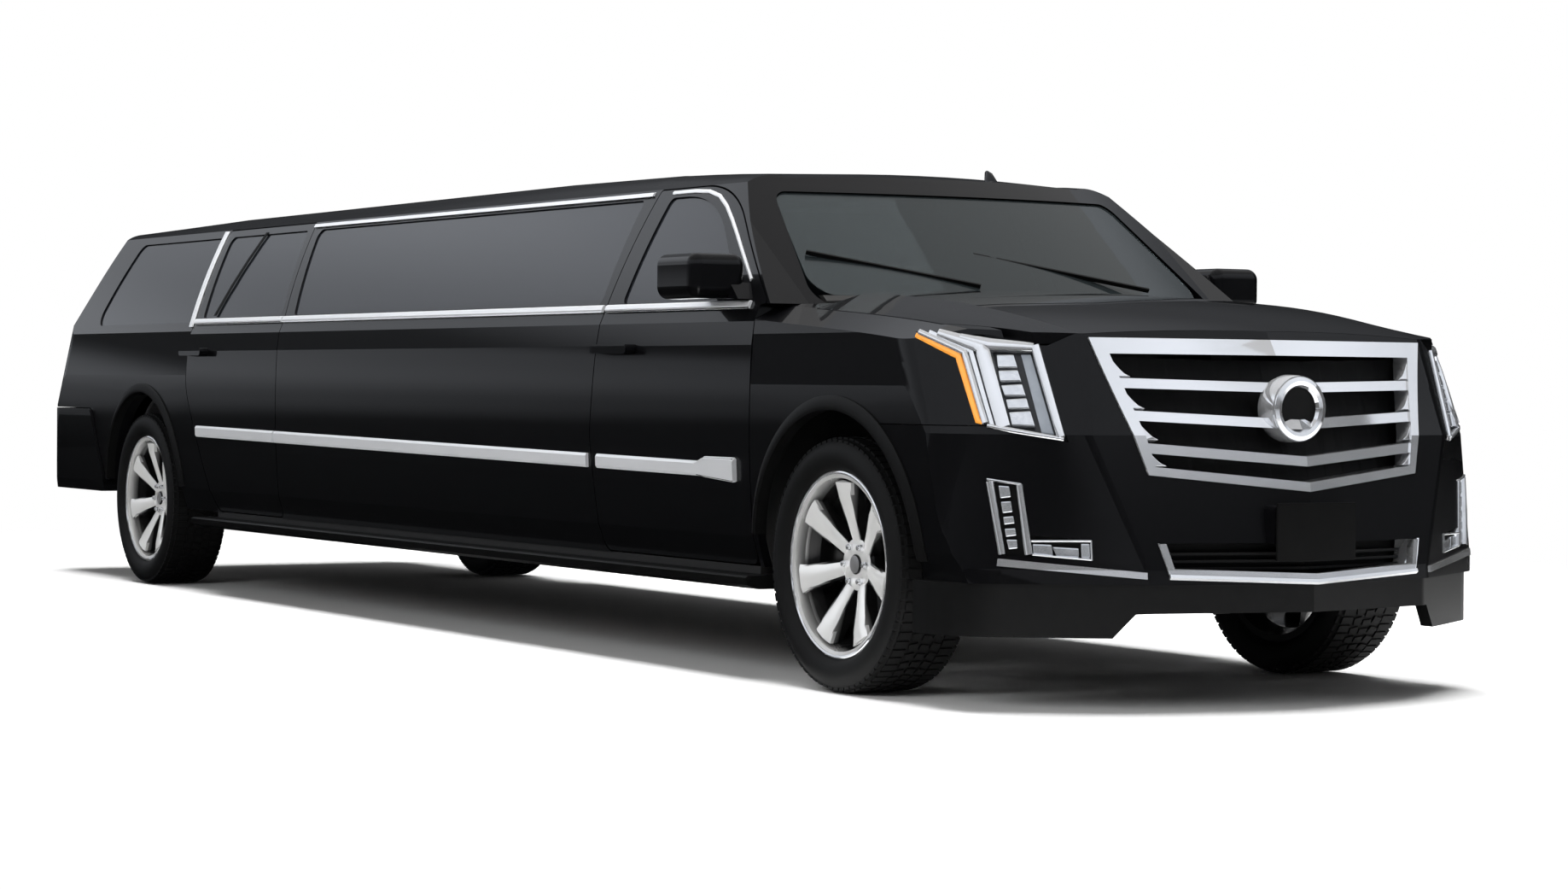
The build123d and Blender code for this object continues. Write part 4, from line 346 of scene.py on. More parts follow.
floor_card = card_material("floor card", [(0.0, 0.012), (0.2, 0.012)], -1, 1)
ring_card("floor_apron", 120, 340, (1.0, REACH), (0.004, 0.004), floor_card)
print("studio ready")

# %% [markdown]
# ## Small meshes
# Most trim is a strip swept along a path, a plate with bevelled edges or a turned piece. A few
# helpers make them, each with its place in the mesh and outward normals.


# %% Mesh helpers
def piece(name, points, faces, material, ride=None, smooth=0.0, bevel=0.0, segments=2):
    """A mesh piece from points and faces; its sharp edges can be bevelled; ride is a body's name."""
    mesh = bpy.data.meshes.new(name)
    mesh.from_pydata([tuple(p) for p in points], [], faces)
    work = bmesh.new()
    work.from_mesh(mesh)
    bmesh.ops.remove_doubles(work, verts=work.verts, dist=1e-6)
    bmesh.ops.recalc_face_normals(work, faces=work.faces)
    if bevel:
        sharp = [e for e in work.edges if len(e.link_faces) == 2 and e.calc_face_angle(0) > 0.35]
        bmesh.ops.bevel(work, geom=sharp, offset=bevel, segments=segments, profile=0.6, affect="EDGES",
                        clamp_overlap=True)
        bmesh.ops.recalc_face_normals(work, faces=work.faces)
    work.to_mesh(mesh)
    work.free()
    mesh.materials.append(material)
    o = linked(name, mesh)
    if smooth:
        for polygon in mesh.polygons:
            polygon.use_smooth = True
        mesh.set_sharp_from_angle(angle=math.radians(smooth))
    if ride:
        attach(o, ride)
    return o


def grid_faces(rows, k, ring=True, loop=False, caps=False):
    """Quads between rows of k points; ring closes each row, loop joins the last row to the first."""
    faces = [(i * k + j, i * k + (j + 1) % k, (i + 1) % rows * k + (j + 1) % k, (i + 1) % rows * k + j)
             for i in range(rows if loop else rows - 1) for j in range(k if ring else k - 1)]
    if caps:
        faces += [tuple(reversed(range(k))), tuple(range((rows - 1) * k, rows * k))]
    return faces


def shell_faces(n):
    """Faces of a plate whose n front points are followed by its n rear points."""
    return [tuple(range(n)), tuple(range(2 * n - 1, n - 1, -1))] + [
        (i, i + n, (i + 1) % n + n, (i + 1) % n) for i in range(n)]


def sweep_points(path, section, normals):
    """Points and faces of a section (side, out) swept along a path, with the out direction given per point."""
    points, last = [], len(path) - 1
    for i, (p, out) in enumerate(zip(path, normals)):
        along = (path[min(i + 1, last)] - path[max(i - 1, 0)]).normalized()
        out = (out - along * out.dot(along)).normalized()
        across = along.cross(out).normalized()
        points += [p + across * a + out * b for a, b in section]
    return points, grid_faces(last + 1, len(section), caps=True)


def swept(name, path, section, normals, material, ride, smooth=40.0):
    piece(name, *sweep_points(path, section, normals), material, ride, smooth)


def lofted(name, rows, material, ride, smooth=0.0):
    """A closed strip through rows of points."""
    points, faces = [p for row in rows for p in row], grid_faces(len(rows), len(rows[0]), caps=True)
    piece(name, points, faces, material, ride, smooth)


def turned(profile, steps, ring=False):
    """Points and faces of a (radius, along) profile turned about the Y axis; ring joins the profile's ends."""
    angles = [2 * math.pi * i / steps for i in range(steps)]
    points = [Vector((r * math.cos(a), along, r * math.sin(a))) for a in angles for r, along in profile]
    return points, grid_faces(steps, len(profile), ring, True)


def box_points(low, high):
    """Points and faces of a box between two corners."""
    plan = ((low[0], low[1]), (high[0], low[1]), (high[0], high[1]), (low[0], high[1]))
    return ([Vector((x, y, z)) for z in (low[2], high[2]) for x, y in plan],
            [(0, 3, 2, 1), (4, 5, 6, 7), (0, 1, 5, 4), (1, 2, 6, 5), (2, 3, 7, 6), (3, 0, 4, 7)])


def joined(parts):
    """Several (points, faces) lists as one."""
    points, faces = [], []
    for some_points, some_faces in parts:
        start = len(points)
        points += some_points
        faces += [tuple(start + i for i in f) for f in some_faces]
    return points, faces


def circle_through(a, b, c):
    """Centre and radius of the circle through three points of a plane."""
    d = 2 * (a[0] * (b[1] - c[1]) + b[0] * (c[1] - a[1]) + c[0] * (a[1] - b[1]))
    sa, sb, sc = (p[0] ** 2 + p[1] ** 2 for p in (a, b, c))
    ux = (sa * (b[1] - c[1]) + sb * (c[1] - a[1]) + sc * (a[1] - b[1])) / d
    uy = (sa * (c[0] - b[0]) + sb * (a[0] - c[0]) + sc * (b[0] - a[0])) / d
    return ux, uy, math.hypot(a[0] - ux, a[1] - uy)


def between(at, low, high):
    """Value at a place on the straight line through two (place, value) points."""
    return low[1] + (high[1] - low[1]) * (at - low[0]) / (high[0] - low[0])


SIDES = (("right", -1), ("left", 1))
print("helpers ready")

# %% [markdown]
# ## The nose surface
# Lamps and trim at the front follow one surface. It is stored as plan outlines at five heights,
# with rounded corners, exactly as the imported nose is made, so a point is found by its height and
# by how far it lies across a plane that faces the corner squarely.

# %% Nose surface
NOSE_LEVELS = [  # height, then ahead of the axle and half width at four places
    (-0.100, 0.560, 1.036, 0.728, 1.016, 1.050, 0.530, 1.160), (0.430, 0.560, 1.036, 0.728, 1.012, 1.030, 0.540, 1.150),
    (0.830, 0.560, 1.030, 0.742, 0.930, 0.930, 0.690, 1.085), (1.125, 0.430, 1.012, 0.700, 0.840, 0.846, 0.655, 0.905),
    (1.400, 0.290, 1.000, 0.600, 0.790, 0.740, 0.640, 0.770)]
CORNER, RISE = math.radians(40), 0.02  # heading of the corner plane; step up that gives the nose's slope


def rounded(before, corner, after, radius):
    """Nine points of the arc that rounds a corner of a plan outline."""
    into, away = (corner - before).normalized(), (after - corner).normalized()
    half = into.angle(away) / 2
    first = corner - into * radius * math.tan(half)
    middle = corner + (away - into).normalized() * (radius / math.cos(half))
    return [middle + Matrix.Rotation(-2 * half * k / 8, 2) @ (first - middle) for k in range(9)]


def nose_level(row):
    """The rounded plan outline of one level, from the side wall to the middle line."""
    z, x1, y1, x2, y2, x3, y3, x4 = row
    p = [Vector(c) for c in ((FRONT_AXLE - 0.7, y1), (FRONT_AXLE + x1, y1), (FRONT_AXLE + x2, y2),
                             (FRONT_AXLE + x3, y3), (FRONT_AXLE + x4, 0))]
    run = [p[0]]
    for k, radius in ((0, 0.27), (1, 0.27), (2, 0.06)):
        run += rounded(p[k], p[k + 1], p[k + 2], radius)
    return run + [p[4]]


NOSE = [(row[0], nose_level(row)) for row in NOSE_LEVELS]


def nose_outline(z):
    """The plan outline at a height, between the levels below and above it."""
    k = max(i for i in range(4) if NOSE[i][0] <= z or i == 0)
    share = (z - NOSE[k][0]) / (NOSE[k + 1][0] - NOSE[k][0])
    return [a.lerp(b, share) for a, b in zip(NOSE[k][1], NOSE[k + 1][1])]


def nose_normal(point, z, across):
    """Outward direction of the left nose near a plan point whose outline runs along across."""
    higher = nose_outline(z + RISE)
    nearest = min((a + (b - a) * t for a, b in zip(higher, higher[1:]) for t in (0, 0.25, 0.5, 0.75)),
                  key=lambda q: (q - point).length)
    up = Vector((nearest.x - point.x, nearest.y - point.y, RISE))
    run = Vector((across.x, across.y, 0))
    n = up.cross(run).normalized()
    return n if n.x + n.y > 0 else -n


def on_nose(run, places, want, z, stand, side):
    """Point and normal where the outline run reaches a place, stood off by stand; side +1 is the left."""
    for a, b, p0, p1 in zip(run, run[1:], places, places[1:]):
        if (p0 - want) * (p1 - want) <= 0 and p0 != p1:
            q = a.lerp(b, (want - p0) / (p1 - p0))
            n = nose_normal(q, z, b - a)
            p = Vector((q.x, q.y, z)) + n * stand
            return Vector((p.x, side * p.y, p.z)), Vector((n.x, side * n.y, n.z))
    raise ValueError(f"no nose at {want:.3f} {z:.3f}")


def on_corner(s, z, stand=0.0, side=1):
    """The nose at corner-plane place s and height z (mm)."""
    run = nose_outline(z / 1000)
    places = [-math.sin(CORNER) * (q.x - FRONT_AXLE) + math.cos(CORNER) * q.y for q in run]
    return on_nose(run, places, s / 1000, z / 1000, stand, side)


def on_front(y, z, stand=0.0):
    """The nose at half width y and height z (m)."""
    run = nose_outline(z)[::-1]
    return on_nose(run, [q.y for q in run], abs(y), z, stand, -1 if y < 0 else 1)


print("nose tip at bumper", [round(v, 3) for v in on_front(0.0, 0.45)[0]])


# %% [markdown]
# ## Plates on the nose
# A lamp is built from plates and strips that follow the nose. The long edges of an outline are
# divided, each of its points is put on the surface with a stand-off, and a second outline behind
# it gives the plate a side wall.


# %% Nose plates
def divided(points, longest):
    """The points of a path (mm) with others set between those that lie far apart."""
    out = []
    for a, b in zip(points, points[1:]):
        n = max(1, math.ceil(math.hypot(b[0] - a[0], b[1] - a[1]) / longest))
        out += [[p + (q - p) * k / n for p, q in zip(a, b)] for k in range(n)]
    return out + [points[-1]]


def corner_plate(name, outlines, material, out, back, bevel=0.0):
    """Plates with the given corner-plane outlines (mm), face stood off by out and back inside by back."""
    made = []
    for side_name, side in SIDES:
        parts = []
        for outline in outlines:
            ring = divided(outline + outline[:1], 25)[:-1]
            parts.append(([on_corner(s, z, stand, side)[0] for stand in (out, -back) for s, z in ring],
                          shell_faces(len(ring))))
        made.append(piece(f"{name}_{side_name}", *joined(parts), material, "body", 0, bevel))
    return made


def corner_strip(name, path, widths, material, out, back):
    """A strip along a corner-plane path (mm) with a rounded face; widths are per point (mm)."""
    for side_name, side in SIDES:
        dense = divided([(*p, width) for p, width in zip(path, widths)], 22)
        found = [on_corner(s, z, 0.0, side) for s, z, width in dense]
        rows, last = [], len(found) - 1
        for i, ((p, normal), (s, z, width)) in enumerate(zip(found, dense)):
            along = (found[min(i + 1, last)][0] - found[max(i - 1, 0)][0]).normalized()
            across = along.cross(normal).normalized()
            h = width / 2000
            profile = ((-h, -back), (-h, out * 0.35), (-h * 0.72, out * 0.85), (0, out), (h * 0.72, out * 0.85),
                       (h, out * 0.35), (h, -back))
            rows.append([p + across * a + normal * b for a, b in profile])
        lofted(f"{name}_{side_name}", rows, material, "body", 50)


# %% [markdown]
# ## Head lamps
# A head lamp is a dark box with bright walls. From the outside inwards there are an amber strip,
# a broad bright band with a groove, and a window with five stacked light cubes beside a grey
# light guide. Every part follows the nose.

# %% Head lamps
dark_glass = finish("dark lamp well", (0.015, 0.016, 0.018), None, 40, rough=0.25)
crystal = finish("light cube", (0.55, 0.57, 0.60), (0.85, 0.87, 0.90), 55, rough=0.12, metal=0.75)
guide_grey = finish("light guide", (0.16, 0.18, 0.21), (0.30, 0.33, 0.37), 22, rough=0.18, Coat_Weight=1.0)
WELL = [(478, 1134), (335, 1062), (236, 855), (-6, 813), (112, 1098), (237, 1124)]
lamp_parts = corner_plate("head_lamp_well", [WELL], dark_glass, out=-0.030, back=0.100)
for well in lamp_parts:
    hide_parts("front_lamps")
corner_strip("head_lamp_amber", [(470, 1126), (334, 1063), (262, 868), (247, 862)], [16, 20, 18, 8], amber, 0.006, 0.03)
for name, path, widths, out in (
        ("outer", [(461, 1136), (315, 1074), (240, 862)], [18, 20, 20], 0.008),
        ("middle", [(430, 1138), (296, 1080), (218, 857)], [10, 14, 12], 0.000),
        ("inner", [(400, 1134), (262, 1092), (184, 852)], [24, 44, 40], 0.006),
        ("top", [(330, 1122), (238, 1100), (104, 1091)], [20, 34, 26], 0.006),
        ("side", [(100, 1096), (12, 824)], [26, 24], 0.007),
        ("bottom", [(232, 856), (160, 842), (4, 817)], [10, 16, 12], 0.006)):
    corner_strip(f"head_lamp_{name}_band", path, widths, bright, out, 0.03)
CUBES = [((216, 1069), (163, 1070), (149, 1030), (210, 1030)), ((209, 1022), (149, 1024), (136, 990), (201, 988)),
         ((198, 978), (134, 982), (121, 946), (185, 946)), ((181, 936), (119, 940), (109, 908), (173, 907)),
         ((170, 898), (106, 902), (90, 856), (159, 858))]
corner_plate("head_lamp_cubes", CUBES, crystal, out=-0.004, back=0.028, bevel=0.004)
corner_plate("head_lamp_guide", [[(142, 1072), (112, 1072), (33, 833), (71, 838)]], guide_grey, out=-0.010, back=0.028,
             bevel=0.003)
print("head lamps", len(lamp_parts))

# %% [markdown]
# ## Fog lamps
# Each fog lamp is an L: an upright with five small lights between two bright bars, and a level arm
# with three reflector boxes.

# %% Fog lamps
def fog_strips(*rows):
    """Bright strips of the fog lamps from rows of name, path and widths."""
    for name, path, widths in rows:
        corner_strip(f"fog_lamp_{name}", path, widths, bright, 0.006, 0.022)


WELL = [(228, 694), (127, 679), (117, 531), (104, 518), (-80, 516), (-83, 459), (188, 471)]
corner_plate("fog_lamp_well", [WELL], deep_black, out=-0.026, back=0.070)
fog_strips(("outer_bar", [(223, 690), (182, 474)], [20, 20]), ("top_bar", [(230, 696), (128, 682)], [7, 7]),
           ("inner_bar", [(134, 680), (103, 474)], [18, 24]))
LIGHTS = [((196, 678), (164, 676), (158, 644), (190, 640)), ((188, 630), (158, 632), (152, 600), (182, 596)),
          ((180, 585), (150, 588), (146, 566), (177, 562)), ((175, 550), (144, 552), (140, 530), (171, 526)),
          ((169, 518), (138, 518), (136, 492), (162, 489))]
corner_plate("fog_lamp_lights", LIGHTS, crystal, out=-0.004, back=0.020, bevel=0.003)
fog_strips(("arm_top", [(96, 514), (-80, 516)], [7, 7]), ("arm_bottom", [(92, 474), (-82, 460)], [6, 6]),
           ("arm_end", [(-80, 518), (-83, 458)], [6, 6]))
BOXES = [[(92, 506), (36, 504), (30, 470), (90, 476)], [(34, 498), (-44, 494), (-46, 466), (20, 468)],
         [(-50, 508), (-76, 508), (-78, 464), (-52, 466)]]
corner_plate("fog_lamp_reflector", BOXES, crystal, out=-0.006, back=0.020, bevel=0.004)
print("fog lamps done")

# %% [markdown]
# ## Grille and lower intake
# Behind the bright bars is a dark core. The frame swells into each opening with a small wedge, so
# the bars seem to grow out of it. The lower intake has bright cheeks that face inwards, a thin
# bright lip along its bottom and a dark screen of slats.

# %% Grille
def opening_y(z):
    """Half width of the grille opening, between its top and bottom corners."""
    return between(z, (1.074, 0.578), (0.736, 0.490))


def front_plate(outline, out, back):
    """A plate on the nose from a (y, z) outline in metres, face stood off by out."""
    return [on_front(y, z, stand)[0] for stand in (out, -back) for y, z in outline], shell_faces(len(outline))


OFF_CENTRE = 0.0001  # the nose is found to one side of the middle line, never on it


def behind_nose(name, half, z_low, z_high, inset, material, columns=14):
    """A dark sheet behind an opening of the nose."""
    places = [-half + 2 * half * i / columns or OFF_CENTRE for i in range(columns + 1)]
    points = [on_front(y, z, -inset)[0] for z in (z_low, z_high) for y in places]
    faces = grid_faces(2, columns + 1, False)
    back = [p - Vector((0.02, 0, 0)) for p in points]
    n = len(points)
    faces += [tuple(reversed([k + n for k in f])) for f in faces]
    piece(name, points + back, faces, material, "body")


behind_nose("grille_core", 0.600, 0.700, 1.090, 0.070, deep_black)
wedges, LAP, TOE = [], 0.004, 0.040  # how far a wedge laps the frame, and its length into the opening
for z_top, z_low in ((1.071, 1.004), (0.970, 0.909), (0.875, 0.816), (0.782, 0.738)):
    for side in (-1, 1):
        top, low = opening_y(z_top), opening_y(z_low)
        run = [(top + LAP, z_top), (low + LAP, z_low), (low - TOE, z_low)]
        for k in range(1, 6):
            t = k / 6
            run.append((low - TOE + (top + LAP - low + TOE) * t ** 0.62, z_low + (z_top - z_low) * t))
        wedges.append(front_plate([(side * y, z) for y, z in run], 0.003, 0.030))
piece("grille_frame_wedges", *joined(wedges), bright, "body", 0, 0.002)
print("grille wedges", len(wedges))

# %% Lower intake and plate
behind_nose("intake_screen", 0.490, 0.415, 0.515, 0.075, deep_black)
cheeks = []
for side in (-1, 1):
    edge = [(0.500, 0.510), (0.486, 0.462), (0.472, 0.418)]
    outer = [on_front(side * y, z, 0.006)[0] for y, z in edge]
    inner = [p + Vector((-0.060, -side * 0.046, 0)) for p in outer]
    ends = [p + Vector((-0.070, 0, 0)) for p in outer]
    cheeks.append((outer + inner + ends, grid_faces(3, 3, False, True) + [(0, 3, 6), (2, 8, 5)]))
piece("intake_cheeks", *joined(cheeks), bright, "body")
lip = [(-0.474 + 0.948 * i / 20, 0.412 - 0.018 * (1 - abs(-1 + i / 10))) for i in range(21)]
found = [on_front(y if abs(y) > 1e-6 else OFF_CENTRE, z, 0.004) for y, z in lip]
swept("intake_lip", [p for p, n in found],
      [(-0.009, -0.012), (0.009, -0.012), (0.010, 0.002), (0.003, 0.009), (-0.006, 0.006)],
      [n for p, n in found], bright, "body", 30)
slats = []
for z in (0.440, 0.462, 0.484):
    run = [on_front(-0.47 + 0.94 * i / 12 or OFF_CENTRE, z, -0.055)[0] for i in range(13)]
    slats.append(sweep_points(run, [(-0.004, -0.012), (0.004, -0.012), (0.004, 0.006), (-0.004, 0.006)],
                              [Vector((1, 0, 0))] * 13))
piece("intake_slats", *joined(slats), satin, "body", 30)
PLATE_X = FRONT_AXLE + 1.1405
plate_black = finish("blank plate", (0.0015, 0.0015, 0.0015), None, 12, rough=0.75, Specular_IOR_Level=0.1)
piece("front_plate_blank", *box_points((PLATE_X, -0.150, 0.456), (PLATE_X + 0.009, 0.150, 0.630)), plate_black,
      "body", 30, 0.002)
print("front details done")

# %% [markdown]
# ## Emblem
# The round badge stays bare: a thick bright ring round a plain dark disc.

# %% Emblem
EMBLEM_X, EMBLEM_Z = FRONT_AXLE + 1.062, 0.912


def emblem_part(name, profile, x, steps, material, ring):
    """A (radius, along) profile turned about the emblem's axis, which points ahead; ring closes it."""
    points, faces = turned(profile, steps, ring)
    points = [Vector((x + p.y, p.z, EMBLEM_Z - p.x)) for p in points]
    piece(name, points, faces, material, "body", 40)


emblem_part("emblem_disc", [(0.0, 0.0), (0.070, 0.0), (0.074, -0.006), (0.074, -0.03), (0.0, -0.03)],
            EMBLEM_X - 0.012, 64, deep_black, False)
emblem_part("emblem_ring", [(0.066, -0.008), (0.072, 0.002), (0.084, 0.006), (0.096, 0.001), (0.101, -0.010),
                            (0.104, -0.060), (0.0995, -0.060), (0.0995, -0.0015), (0.070, -0.0015)],
            EMBLEM_X, 72, bright, True)
print("emblem placed at", EMBLEM_X)

# %% [markdown]
# ## Side trim
# The bright strips are thin pressed mouldings that follow the wall. The wall section is a few arcs
# and lines, so a point on it is found from its height. Each strip is made as stations along the
# car, with a bevelled face that catches the sky, and rides the door or panel that carries it.

# %% Wall section
SILL, FOOT, SHOULDER, LEDGE, BELT = 0.373, 0.470, 1.102, 1.180, 1.238  # heights where the section changes
ARC_LOW = (1.004, FOOT), (1.022, 0.790), (1.016, SHOULDER)
ARC_HIGH = (0.982, BELT), (0.884, 1.453), (0.762, 1.668)


def on_arc(three, z):
    """Half width at height z on the circle through three (y, z) points."""
    ux, uy, r = circle_through(*three)
    return ux + math.sqrt(max(r * r - (z - uy) ** 2, 0))


def wall_y(z):
    """Half width of the side wall at a height."""
    if z < FOOT:
        return between(z, (SILL, 0.975), (FOOT, 1.004))
    if z < SHOULDER:
        return on_arc(ARC_LOW, z)
    if z < LEDGE:
        return between(z, (SHOULDER, 1.016), (LEDGE, 1.006))
    if z < BELT:
        return between(z, (LEDGE, 1.006), (BELT, 0.982))
    return on_arc(ARC_HIGH, z)


def wall_point(x, z, out, side):
    """A point that stands out from the wall at station x and height z; side +1 is the left."""
    slope = (wall_y(z + 0.004) - wall_y(z - 0.004)) / 0.008
    n = Vector((0, 1, -slope)).normalized()
    return Vector((x, side * (wall_y(z) + n.y * out), z + n.z * out))


def moulding(name, stations, stand, side, material, ride, crown=0.35):
    """A strip on the wall; stations are (x, low z, high z); stand is how far it stands out."""
    profile = [(0.0, 0.0005), (0.0, stand * 0.55), (crown * 0.5, stand), (1 - crown * 0.5, stand),
               (1.0, stand * 0.55), (1.0, 0.0005)]
    rows = [[wall_point(x, low + (high - low) * t, out, side) for t, out in profile] for x, low, high in stations]
    lofted(name, rows, material, ride)


def side_strip_z(x):
    """Height of the side strip's foot, which falls towards the front."""
    return between(x, (-2.441, 0.716), (2.695, 0.664))


def side_band(x):
    """Lower and upper edge of the side strip."""
    return side_strip_z(x) - 0.003, side_strip_z(x) + 0.047


def strips(kind, label, side, ends, count, band, stand, crown):
    """One strip each on the rear door, the fixed panel and the front door; band gives its two heights."""
    for part, (first, last) in zip(("rear_door", "panel", "front_door"), ends):
        stations = [first + (last - first) * i / count for i in range(count + 1)]
        moulding(f"{kind}_strip_{part}_{label}", [(x, *band(x)) for x in stations], stand, side, strip_bright,
                 "body" if part == "panel" else f"{part}_{label}", crown)


DOOR_FRONT, DOOR_REAR, REAR_FRONT, REAR_REAR, GAP = 2.785, 1.695, -1.353, -2.423, 0.006
for label, side in SIDES:
    ends = ((REAR_REAR + 0.128, REAR_FRONT - GAP), (REAR_FRONT + GAP, DOOR_REAR - 0.070), (DOOR_REAR + 0.008, 2.470))
    strips("side", label, side, ends, count=10, band=side_band, stand=0.0135, crown=0.35)
    end = side_strip_z(2.695)
    block = [(2.440, end + 0.003, end + 0.047), (2.500, end - 0.004, end + 0.066),
             (2.690, end - 0.016, end + 0.066), (2.700, end - 0.012, end + 0.060)]
    moulding(f"side_strip_end_{label}", block, 0.018, side, strip_bright, f"front_door_{label}", 0.2)
    ends = ((REAR_REAR + GAP, REAR_FRONT - GAP), (REAR_FRONT + GAP, DOOR_REAR - 0.022),
            (DOOR_REAR + 0.002, DOOR_FRONT - 0.058))
    strips("belt", label, side, ends, count=6, band=lambda x: (1.2225, 1.2475), stand=0.0115, crown=0.5)
    arc = [(1.800, 1.650), (1.960, 1.650), (2.070, 1.644), (2.165, 1.624), (2.255, 1.585), (2.345, 1.534),
           (2.430, 1.481), (2.515, 1.424), (2.600, 1.366), (2.668, 1.318)]
    rows = []
    for i, (x, z) in enumerate(arc):
        a, b = arc[max(i - 1, 0)], arc[min(i + 1, len(arc) - 1)]
        along = Vector((b[0] - a[0], b[1] - a[1])).normalized()
        normal = Vector((-along.y, along.x))
        rows.append([wall_point(x + normal.x * across, z + normal.y * across, out, side) for across, out in
                     ((-0.006, 0.0005), (-0.006, 0.004), (0, 0.0065), (0.006, 0.004), (0.006, 0.0005))])
    lofted(f"window_line_{label}", rows, strip_bright, f"front_door_{label}", 40)
print("side strips done")

# %% [markdown]
# ## Wheel arch lips
# A satin lip follows each wheel arch. On the real car it is a separate moulding clipped to the
# opening's edge; here it is a section swept round the arch.

# %% Arch lips
LIP_WIDE, LIP_THIN, LIP_STEPS = 0.046, 0.030, 40


def arch_lip(name, axle_x, radius, first, last, side, y_of, thin_from):
    """A lip round an arch between two angles; y_of gives the wall, and it thins beyond thin_from degrees."""
    rows = []
    for i in range(LIP_STEPS + 1):
        a = math.radians(first + (last - first) * i / LIP_STEPS)
        width = LIP_WIDE - (LIP_WIDE - LIP_THIN) * max(0, math.degrees(a) - thin_from) / (180 - thin_from)
        row = []
        for r, out in ((-0.001, -0.030), (-0.001, 0.012), (0.012, 0.015), (width, 0.005), (width, -0.004)):
            x, z = axle_x + (radius + r) * math.cos(a), AXLE_Z + (radius + r) * math.sin(a)
            row.append(Vector((x, side * (y_of(x, z) + out), z)))
        rows.append(row)
    lofted(name, rows, satin, "body", 35)


def tail_y(x, z):
    """Half width of the side wall, which stays as at its foot below that."""
    return wall_y(max(z, 0.38))


def nose_y(x, z):
    """Half width of the front end at a station and a height."""
    if x >= FRONT_AXLE + 0.12:
        run = nose_outline(max(z, 0.0))
        for a, b in zip(run, run[1:]):
            if (a.x - x) * (b.x - x) <= 0 and a.x != b.x:
                return min(tail_y(x, z), a.lerp(b, (x - a.x) / (b.x - a.x)).y)
    return tail_y(x, z)


for label, side in SIDES:
    arch_lip(f"front_arch_lip_{label}", FRONT_AXLE, 0.490, 4, 171, side, nose_y, 100)
    arch_lip(f"rear_arch_lip_{label}", REAR_AXLE, 0.505, 8, 171, side, tail_y, 60)
print("arch lips done")

# %% [markdown]
# ## Tyres
# A road tyre is a smooth carcass with raised tread blocks. The carcass here keeps the packed
# tyre's outline with the tread a little lower, and the blocks are copies of one block set round it
# by Geometry Nodes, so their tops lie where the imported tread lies.

# %% Tyre carcass
RIM_LIP, BEAD, HALF, ROUND = 0.297, 0.283, 0.118, 96  # radii, half width and divisions round the tyre


def curve_through(a, b, c, count):
    """Points on the circle arc through three (y, r) points."""
    ux, uy, r = circle_through(a, b, c)
    angles = [math.atan2(p[1] - uy, p[0] - ux) for p in (a, b, c)]
    sweep = (angles[2] - angles[0] + math.pi) % (2 * math.pi) - math.pi
    return [(ux + r * math.cos(angles[0] + sweep * i / count), uy + r * math.sin(angles[0] + sweep * i / count))
            for i in range(count + 1)]


half_run = [(HALF - 0.013, BEAD + 0.002), (HALF - 0.0095, RIM_LIP + 0.0003)]
half_run += curve_through((HALF + 0.003, RIM_LIP + 0.004), (0.1425, RIM_LIP + 0.046), (0.128, 0.387), 10)
half_run[4] = (half_run[4][0] + 0.0012, half_run[4][1])  # a raised ring on the side wall
tread = [(0.122, 0.393), (0.112, 0.3975), (0.062, 0.3985), (0.0, 0.399)]
whole = half_run + tread + [(-y, r) for y, r in reversed(half_run + tread[:-1])]
carcass = turned([(r, y) for y, r in whole], ROUND, True)


